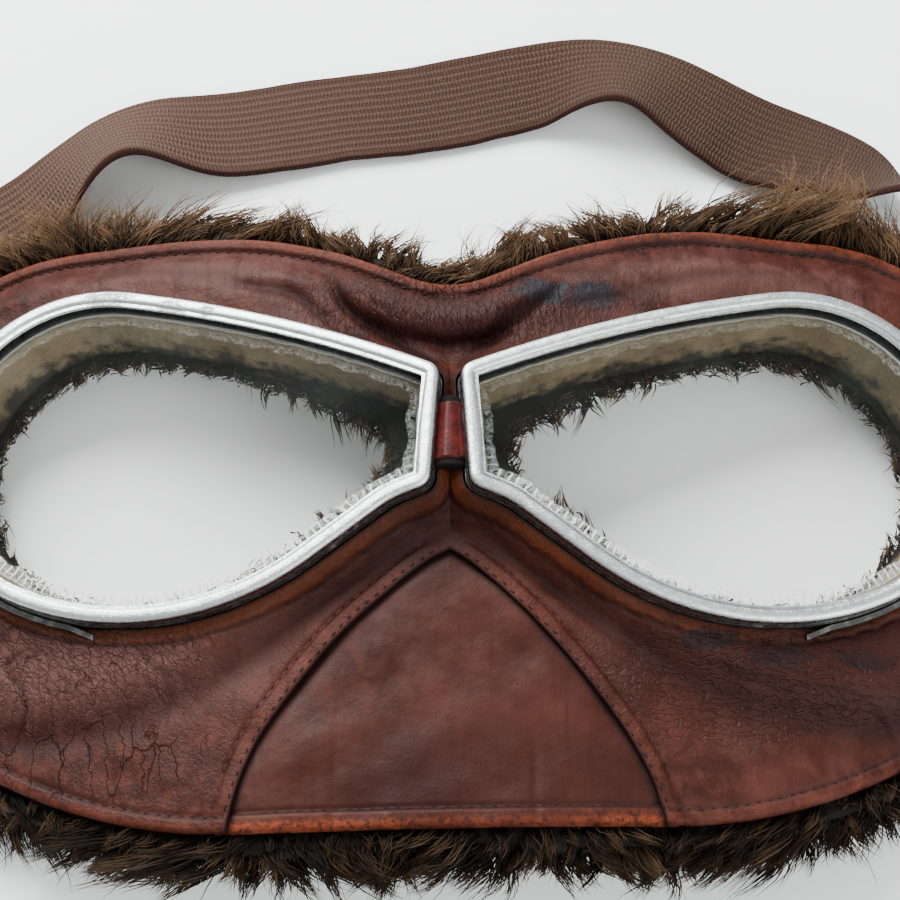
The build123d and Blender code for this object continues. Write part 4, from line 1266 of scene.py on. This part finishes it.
def makeCamera():
    # the tilt from above sets the back and up directions; the lens gives so many pixels a millimetre
    tilt = math.radians(camera["elevation"])
    back = Vector((0, -math.cos(tilt), math.sin(tilt)))
    up = Vector((0, math.sin(tilt), math.cos(tilt)))
    aim = Vector((0, face["y"] * mm, camera["aimZ"] * mm)) + up * camera["rise"] * mm
    data = bpy.data.cameras.new("camera")
    data.sensor_width = camera["sensor"]
    data.lens = camera["sensor"] * camera["pixelsPerMm"] * camera["distance"] / camera["pixels"]
    data.clip_start = 0.01
    bpy.context.scene.camera = aimed("camera", data, aim + back * camera["distance"] * mm, back)


# Table and soft studio light
studio = {"floor": (0.90, 0.935, 0.925), "floorShade": (0.93, 0.96, 0.95), "zenith": (1.0, 1.0, 1.0),
          "horizon": (0.42, 0.45, 0.48), "strength": 1.10, "tableHalf": 1500,
          # place, size and power of each soft light
          "lights": {"key": ((-0.30, 0.64, 0.70), 0.62, 37.0), "fill": ((0.58, -0.50, 0.52), 0.60, 8.0)}}


def makeStudio():
    # a pale table, a sky that brightens upwards and square lights that face the middle
    place, finish = material("tablePaint", "place", Roughness=0.55)
    colour = place.noise(0.02, 3.0).step(0.3, 0.7).mix(studio["floor"], studio["floorShade"])
    corners = np.array([[-1, -1, 0], [1, -1, 0], [1, 1, 0], [-1, 1, 0]]) * studio["tableHalf"]
    table = meshFrom("table", corners, np.array([[0, 1, 2, 3]]), closed=False)
    table.data.materials.append(finish(Base_Color=colour))
    world = bpy.data.worlds.new("studio")
    world.use_nodes = True
    back = world.node_tree.nodes["Background"]
    sky = Wire(world.node_tree, None).node("ShaderNodeTexCoord", out=0).part(2)
    colour = sky.step(-0.05, 0.85).mix(studio["horizon"], studio["zenith"])
    world.node_tree.links.new(colour.socket, back.inputs[0])
    back.inputs[1].default_value = studio["strength"]
    bpy.context.scene.world = world
    for name, (place, size, power) in studio["lights"].items():
        data = bpy.data.lights.new(name, "AREA")
        data.shape, data.size, data.energy = "SQUARE", size, power
        aimed(name, data, place, Vector(place))


# Finishes
brown = {
    "dark": (0.019, 0.0046, 0.0032), "mid": (0.038, 0.0104, 0.0072), "light": (0.061, 0.0180, 0.0124),
    # seam: the near-black of cracks, and of dirt and painted shade in creases, seams and grooves
    "grey": (0.061, 0.0262, 0.0222), "worn": (0.150, 0.030, 0.0095), "seam": (0.0035, 0.0012, 0.001),
    "strip": (0.080, 0.0205, 0.0055),
    # deep: the colour of the painted shade patches
    "stain": (0.0085, 0.0092, 0.0120), "deep": (0.0150, 0.0034, 0.0024),
    # greyed patches: rubbed on the left cheek, lighter and greyer on the left and right brow
    "greyedPatches": [(-62.0, -36.0, 32.0, 10.0), (-46.0, 36.0, 26.0, 6.0), (52.0, 35.0, 30.0, 6.0)],
    # painted shade, with how dark: right cheek, brow fold, right seam, chin, under the bridge
    "paintedShades": [(66.0, -36.0, 44.0, 15.0, 0.65), (0.0, 25.0, 19.0, 9.0, 0.60), (26.0, -32.0, 14.0, 12.0, 0.35),
               (4.0, -55.0, 34.0, 13.0, 0.60), (0.0, -12.0, 16.0, 9.0, 0.5)],
    # creased by wear: left cheek, right cheek, brow, left hem
    "creased": [(-64.0, -34.0, 30.0, 13.0), (52.0, -38.0, 34.0, 14.0), (0.0, 29.0, 34.0, 10.0),
                (-62.0, -50.0, 26.0, 9.0)],
    # right brow and right cheek: x, y, half width, half height
    "stains": [(15.5, 32.2, 6.0, 3.8), (24.0, 31.6, 7.5, 3.8), (43.5, -31.0, 6.5, 2.4),
               (56.0, -33.5, 8.0, 2.6), (70.0, -33.0, 7.0, 2.2)],
}


def wrinkles(place, stretch, scale, low, high):
    # a net of thin creases: near the edges of warped cells, stretched along one way
    bent = place.plus(place.node("ShaderNodeTexNoise", None, {"Vector": place, "Scale": 0.55}, out=1)
                      .times((2.2, 2.2, 2.2))).times(stretch)
    return 1.0 - bent.cells(scale, "DISTANCE_TO_EDGE").step(low, high)


def within(place, x, y, wide, high, ragged):
    # 1 inside an ellipse on the face whose edge wanders with a noise
    gap = ((place.part(0) - x) / wide) ** 2.0 + ((place.part(1) - (y + face["y"])) / high) ** 2.0
    return (1.0 - gap + ragged).step(0.0, 0.9)


def leatherFinish(name, gloss, cracked, relief, blotch):
    # brown hide: broad and small blotches, streaks down the face, grey patches, orange wear
    # on edges, patches of painted shade, dark seams and creases that are partly dirt and partly
    # painted shade, a fine pebble grain, and creases that run down the brow, slantwise over the
    # left cheek and level over the right one
    place, wear, dirtAndShade, strip, puffed, finish = material(name, "place", "wear", "dirtAndShade", "strip", "puffed",
                                                        Specular_IOR_Level=0.09)
    broad, small = place.noise(0.040, 3.0), place.noise(0.24, 5.0, 0.62, 0.5)
    streak = place.times((1.0, 0.10, 0.5)).noise(0.8, 4.0, 0.6)
    colour = broad.step(0.36, 0.64).mix(brown["dark"], brown["mid"])
    colour = (small.step(0.40, 0.70) * blotch).mix(colour, brown["light"])
    ragged = (small - 0.5) * 2.0
    grey = place.plus((40.0, 9.0, 0.0)).noise(0.055, 4.0, 0.6).step(0.48, 0.66) * 0.35
    for x, y, wide, high in brown["greyedPatches"]:
        grey = grey.most(within(place, x, y, wide, high, ragged) * 0.80)
    colour = grey.mix(colour, brown["grey"])
    colour = (streak.step(0.50, 0.72) * 0.40).mix(colour, brown["dark"])
    rub = place.noise(1.1, 5.0, 0.68)
    worn = (wear * 1.2 * rub.step(0.36, 0.60)).clamped()
    colour = (worn * 0.75).mix(colour, brown["worn"])
    scuff = place.noise(0.55, 6.0, 0.72).step(0.66, 0.78)
    colour = (scuff * 0.16).mix(colour, brown["worn"])
    colour = (strip * (0.35 + rub.step(0.4, 0.7) * 0.5)).mix(colour, brown["strip"])
    for x, y, wide, high in brown["stains"]:
        colour = (within(place, x, y, wide, high, (small - 0.5) * 3.2) * 0.92).mix(colour, brown["stain"])
    # painted shade: each patch darkens the leather towards the deep brown
    for x, y, wide, high, deep in brown["paintedShades"]:
        colour = (within(place, x, y, wide, high, ragged) * deep).mix(colour, brown["deep"])
    left, right, brow, hemLeft = (within(place, *patch, ragged) for patch in brown["creased"])
    net = wrinkles(place, (1.0, 0.75, 0.4), 0.30, 0.0, 0.022) * left * cracked * small.step(0.38, 0.55)
    slant = wrinkles(place.node("ShaderNodeVectorRotate", {"rotation_type": "Z_AXIS"},
                                {"Vector": place, "Angle": 0.75}), (0.42, 1.5, 0.4), 0.75, 0.0, 0.10)
    level = wrinkles(place, (0.30, 1.3, 0.4), 0.75, 0.0, 0.11)
    upright = wrinkles(place, (1.5, 0.30, 0.4), 0.62, 0.0, 0.11)
    dry = wrinkles(place, (1.0, 0.30, 0.4), 0.23, 0.0, 0.022) * hemLeft * cracked
    fold = (slant * left * 0.75 + level * right * 0.7 + upright * brow * 0.8) * cracked
    cut = (net + dry).clamped()
    # the wrinkles' lines darkened: dirt and painted shade
    colour = (fold * 0.30).clamped().mix(colour, brown["seam"])
    colour = (cut * 0.62).mix(colour, brown["seam"])
    # dirt and painted shade: the layer darkens creases, seams, grooves and valleys towards near-black
    colour = (dirtAndShade * 0.85).clamped().mix(colour, brown["seam"])
    grain = place.cells(1.45, "F1").step(0.0, 0.8)
    pores = place.noise(3.4, 3.0, 0.6)
    pull = place.times((1.0, 0.45, 1.0)).noise(0.9, 5.0, 0.62, 0.8)
    height = grain * 0.06 + pores * 0.12 + pull * (0.10 + puffed * 0.22) - cut * 0.46 - fold * 0.30
    rough = (gloss + (pores - 0.5) * 0.22 + worn * 0.15 + dirtAndShade * 0.25 + (small - 0.5) * 0.25).clamped()
    return finish(Base_Color=colour, Roughness=rough, Normal=height.bump(relief, 0.0009))


plating = {
    "tone": (0.54, 0.56, 0.565), "dullTone": (0.22, 0.225, 0.22), "darkTone": (0.075, 0.075, 0.072),
    "dull": (0.24, 0.245, 0.24), "smear": (0.36, 0.37, 0.37), "grime": (0.17, 0.165, 0.155),
    "speck": (0.05, 0.047, 0.042),
    # worn spots seen along the left rim: x, y, half width, half height
    "spots": [(-60.5, 31.0, 5.0, 2.2), (-49.0, 28.2, 2.8, 1.8), (-42.5, 27.2, 1.6, 1.2),
              (-68.0, 27.0, 2.0, 1.5), (84.0, 22.0, 3.0, 2.0), (36.0, 26.0, 2.0, 1.2)],
}


def metalFinish(name, rough, tone):
    # worn bright plating: soft brushed scratches, dull grey patches with pitted edges, dark specks, and grime
    # with painted shade along the rim face's rolled edges
    place, edgeGrimeAndShade, finish = material(name, "place", "edgeGrimeAndShade", Metallic=1.0)
    patch = place.noise(0.20, 6.0, 0.7, 0.6)
    worn = patch.step(0.60, 0.66)
    pit = place.noise(1.5, 5.0, 0.75)
    for x, y, wide, high in plating["spots"]:
        worn = worn.most(within(place, x, y, wide, high, (pit - 0.5) * 3.4))
    worn = worn * pit.step(0.40, 0.56)
    scratch = place.times((0.5, 3.2, 1.0)).noise(2.4, 4.0, 0.7)
    speck = place.noise(1.3, 3.0, 0.7).step(0.70, 0.75)
    smear = place.noise(0.6, 3.0).step(0.45, 0.7)
    colour = (worn * 0.75).mix(tone, plating["dull"])
    colour = (smear * 0.30).mix(colour, plating["smear"])
    colour = (speck * 0.75).mix(colour, plating["speck"])
    # grime and painted shade along the rolled edges of the rim's face
    colour = (edgeGrimeAndShade * (0.65 + pit.step(0.35, 0.6) * 0.3) * 0.8).clamped().mix(colour, plating["grime"])
    rough = (rough + worn * 0.30 + scratch * 0.20 - 0.10 + speck * 0.2 + smear * 0.08).clamped()
    return finish(Base_Color=colour, Roughness=rough,
                  Normal=(scratch * 0.4 + patch * 1.2 - speck * 0.5 - worn * 0.4).bump(0.4, 0.0004))


# Colours of the other finishes; two together are the ends of one blend
tones = {
    "glass": (0.22, 0.27, 0.25, 1), "cement": (0.74, 0.78, 0.74, 1),
    "suede": [(0.104, 0.078, 0.042), (0.158, 0.124, 0.074)], "nap": (0.22, 0.18, 0.125),
    "suedeRows": (0.060, 0.044, 0.026), "suedePaintedShade": (0.0105, 0.0080, 0.0062),
    "furRootShade": [(0.0024, 0.0014, 0.0009), (0.022, 0.0115, 0.0055)],
    "furTip": [(0.0050, 0.0026, 0.0012), (0.165, 0.094, 0.048)],
    "picks": [(0.024, 0.0122, 0.0082), (0.062, 0.035, 0.0235)], "groove": (0.018, 0.0088, 0.006),
    "fuzz": (0.115, 0.069, 0.049), "faded": (0.042, 0.0225, 0.016), "strapLeft": (0.120, 0.072, 0.054),
    "strapRight": (0.026, 0.0140, 0.0100), "strapEdge": (0.020, 0.0048, 0.0036),
    "red": [(0.028, 0.0015, 0.0011), (0.066, 0.0040, 0.0026)], "redGrain": (0.030, 0.004, 0.003),
    "redEnds": (0.005, 0.003, 0.003), "thread": [(0.0045, 0.0016, 0.0012), (0.018, 0.0060, 0.0045)],
    "rubber": [(0.006, 0.0055, 0.005), (0.026, 0.023, 0.019)],
}


def lensFinish():
    # old clear glass: a faint green-white film, cloudier in drifts, with hairline scratches
    place, finish = material("oldGlass", "place", Roughness=0.06, Specular_IOR_Level=0.12,
                             Base_Color=tones["glass"])
    haze = place.times((1.0, 1.6, 1.0)).noise(0.045, 4.0, 0.5, 0.6)
    hair = place.times((3.0, 0.5, 1.0)).noise(0.9, 2.0).step(0.74, 0.75)
    dust = place.noise(2.4, 2.0).step(0.775, 0.80)
    return finish(Alpha=(0.006 + haze.step(0.35, 0.75) * 0.012 + hair * 0.03 + dust * 0.09).clamped())


def cementFinish():
    # whitish dried cement: comb-like streaks across it below, squiggles and bubbles elsewhere
    place, edge, low, run, finish = material("driedCement", "place", "edge", "low", "runAt", Roughness=0.35,
                                             Base_Color=tones["cement"])
    comb = (run * 4.2 + place.noise(0.35, 3.0) * 9.0).sine().step(0.35, 0.95)
    squiggle = place.noise(0.95, 4.0, 0.6, 1.6)
    thread = 1.0 - ((squiggle - 0.5).absolute() * 14.0).clamped()
    bubbles = 1.0 - place.cells(0.55, "DISTANCE_TO_EDGE").step(0.02, 0.09)
    inner = edge.step(0.25, 0.6)
    amount = comb * low * edge.step(0.15, 0.5) * (1.0 - edge.step(0.8, 1.0)) * 0.55
    amount = amount + thread * inner * (0.08 + low * 0.20) + bubbles * inner * (0.03 + low * 0.06)
    rim = (1.0 - ((edge - 0.30).absolute() * 12.0).clamped()) * 0.22
    return finish(Alpha=((amount + rim) * (1.0 - edge.step(0.92, 1.0))).clamped(),
                  Normal=(squiggle + comb * 0.5).bump(0.7, 0.0005))


def suedeFinish():
    # tan suede: nap in short streaks, and painted shade that darkens the cup's wall low down
    place, deep, finish = material("tanSuede", "place", "deep", Roughness=0.92, Specular_IOR_Level=0.1)
    nap = place.noise(1.8, 5.0, 0.7, 0.6)
    rows = place.times((0.3, 0.3, 2.2)).noise(1.3, 3.0)
    blot = place.noise(0.12, 3.0)
    colour = blot.step(0.35, 0.68).mix(*tones["suede"])
    colour = (nap.step(0.5, 0.75) * 0.4).mix(colour, tones["nap"])
    colour = (rows.step(0.5, 0.7) * 0.35).mix(colour, tones["suedeRows"])
    ragged = (place.noise(0.30, 5.0, 0.65) - 0.5) * 1.5
    # painted shade deep in the eyecup, with a ragged edge
    colour = ((deep + ragged).step(0.52, 1.0) * 0.92).mix(colour, tones["suedePaintedShade"])
    return finish(Base_Color=colour, Normal=(nap + rows * 0.5).bump(0.5, 0.0006))


def furFinish():
    # each strand runs from a near-black root, painted shade where the strands crowd, to a paler tip, its tint
    # set by its lock's tone
    tip, tone, finish = material("sheepFur", "tip", "tone", Roughness=0.65, Specular_IOR_Level=0.10)
    dark, pale = tone.mix(*tones["furRootShade"]), tone.mix(*tones["furTip"])
    return finish(Base_Color=(tip ** 1.4).step(0.0, 0.95).mix(dark, pale))


def webbingFinish():
    # woven elastic: ribs along the strap, fine cross threads, darker reddish edges
    place, run, over, edge, finish = material("ribbedElastic", "place", "runAt", "acrossAt", "edge",
                                              Roughness=0.86, Specular_IOR_Level=0.12)
    ribs = strap["ribs"] / strap["width"]
    ridge = (over * (ribs * 2 * math.pi)).sine()
    picks = (run * (2 * math.pi / 0.72) + (over * (ribs * math.pi)).sine() * 1.1).sine()
    fuzz = place.noise(2.6, 4.0, 0.7)
    colour = (picks * 0.5 + 0.5).mix(*tones["picks"])
    colour = (ridge * 0.5 + 0.5).step(0.0, 0.5).mix(tones["groove"], colour)
    colour = (fuzz.step(0.52, 0.7) * 0.45).mix(colour, tones["fuzz"])
    colour = (place.noise(0.045, 3.0).step(0.4, 0.65) * 0.30).mix(colour, tones["faded"])
    colour = ((1.0 - place.part(0).step(-75.0, 40.0)) * 0.22).mix(colour, tones["strapLeft"])
    colour = (place.part(0).step(15.0, 80.0) * 0.40).mix(colour, tones["strapRight"])
    colour = (edge * 0.8).mix(colour, tones["strapEdge"])
    return finish(Base_Color=colour, Normal=(picks * 0.35 + ridge * 0.4 + fuzz * 0.5).bump(0.6, 0.0005))


def redFinish():
    # glossy dark red leather with dark bound ends
    place, bound, finish = material("redBridge", "place", "bound", Coat_Roughness=0.2,
                                    Specular_IOR_Level=0.10)
    grain = place.noise(1.6, 4.0)
    colour = place.noise(0.5, 3.0).step(0.35, 0.7).mix(*tones["red"])
    colour = (grain.step(0.55, 0.72) * 0.6).mix(colour, tones["redGrain"])
    colour = bound.step(0.3, 0.7).mix(colour, tones["redEnds"])
    return finish(Base_Color=colour, Roughness=(0.34 + grain * 0.2 + bound * 0.35).clamped(),
                  Coat_Weight=(0.10 - bound * 0.10).clamped(), Normal=grain.bump(0.35, 0.0004))


def threadFinish():
    # dark thread, lighter along its twist in patches
    place, finish = material("waxedThread", "place", Roughness=0.7, Specular_IOR_Level=0.2)
    twist = (place.part(0) * 9.0 + place.part(1) * 9.0).sine() * 0.5 + 0.5
    lit = twist * place.noise(0.5, 3.0).step(0.35, 0.65)
    return finish(Base_Color=lit.mix(*tones["thread"]), Normal=twist.bump(0.4, 0.0002))


def rubberFinish():
    # black rubber, greyer where grime sits
    place, finish = material("blackGasket", "place", Roughness=0.7, Specular_IOR_Level=0.2)
    grime = place.noise(1.2, 5.0, 0.65)
    colour = grime.step(0.45, 0.7).mix(*tones["rubber"])
    return finish(Base_Color=colour, Normal=grime.bump(0.4, 0.0004))


makeCamera()
makeStudio()
print("camera, table and lights made")

hide = leatherFinish("faceHide", 0.44, 1.0, 0.80, 0.7)
smoothHide = leatherFinish("noseHide", 0.46, 0.0, 0.30, 0.30)
metal = metalFinish("wornPlating", 0.26, plating["tone"])
dullMetal = metalFinish("dullPlating", 0.34, plating["dullTone"])
darkMetal = metalFinish("darkPlating", 0.42, plating["darkTone"])
glass = lensFinish()
for piece, finish in ((makeFaceLeather(), hide), (makeNosePatch(), smoothHide)):
    paint(piece, finish)
    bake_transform(piece)
print("leather face and nose patch made")

seams = makeSeams()
paint(seams, threadFinish())
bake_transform(seams)
print("stitches made")

red = makeBridge()
paint(red, redFinish())
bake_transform(red)

suede, cement = suedeFinish(), cementFinish()
for side, body in ((1, "right_side"), (-1, "left_side")):
    sleeve, dried, lug, shine = makeEyecup(side), makeBead(side), makeTab(side), makePlate(side)
    paint(sleeve, suede)
    paint(dried, cement)
    paint(lug, hide)
    paint(shine, metal)
    for piece in (sleeve, dried, lug, shine):
        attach(piece, body)
print("eyecups, cement and temple tabs made")

webbing = webbingFinish()
band = makeStrapBand()
paint(band, webbing)
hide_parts("strap_left", "strap_middle", "strap_right")
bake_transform(band)
for side, body in ((1, "right_side"), (-1, "left_side")):
    wrap = makeStrapLoop(side)
    paint(wrap, webbing)
    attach(wrap, body)
print("strap made")

pelt = furFinish()
for piece in makeFur(pelt):
    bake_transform(piece)
print("fur made")

gasket = rubberFinish()
for side in ("left", "right"):
    for name in ("front_rim", "rim_screw", "tab_rivets", "strap_ring"):
        paintNode(name + "_" + side, metal)
    paintNode("rear_rim_" + side, dullMetal)
    paintNode("rim_band_" + side, darkMetal)
    paintNode("lens_" + side, glass)
    paintNode("lens_gasket_" + side, gasket)
paintNode("strap_slider", metal)
print("metal, glass and rubber finished")
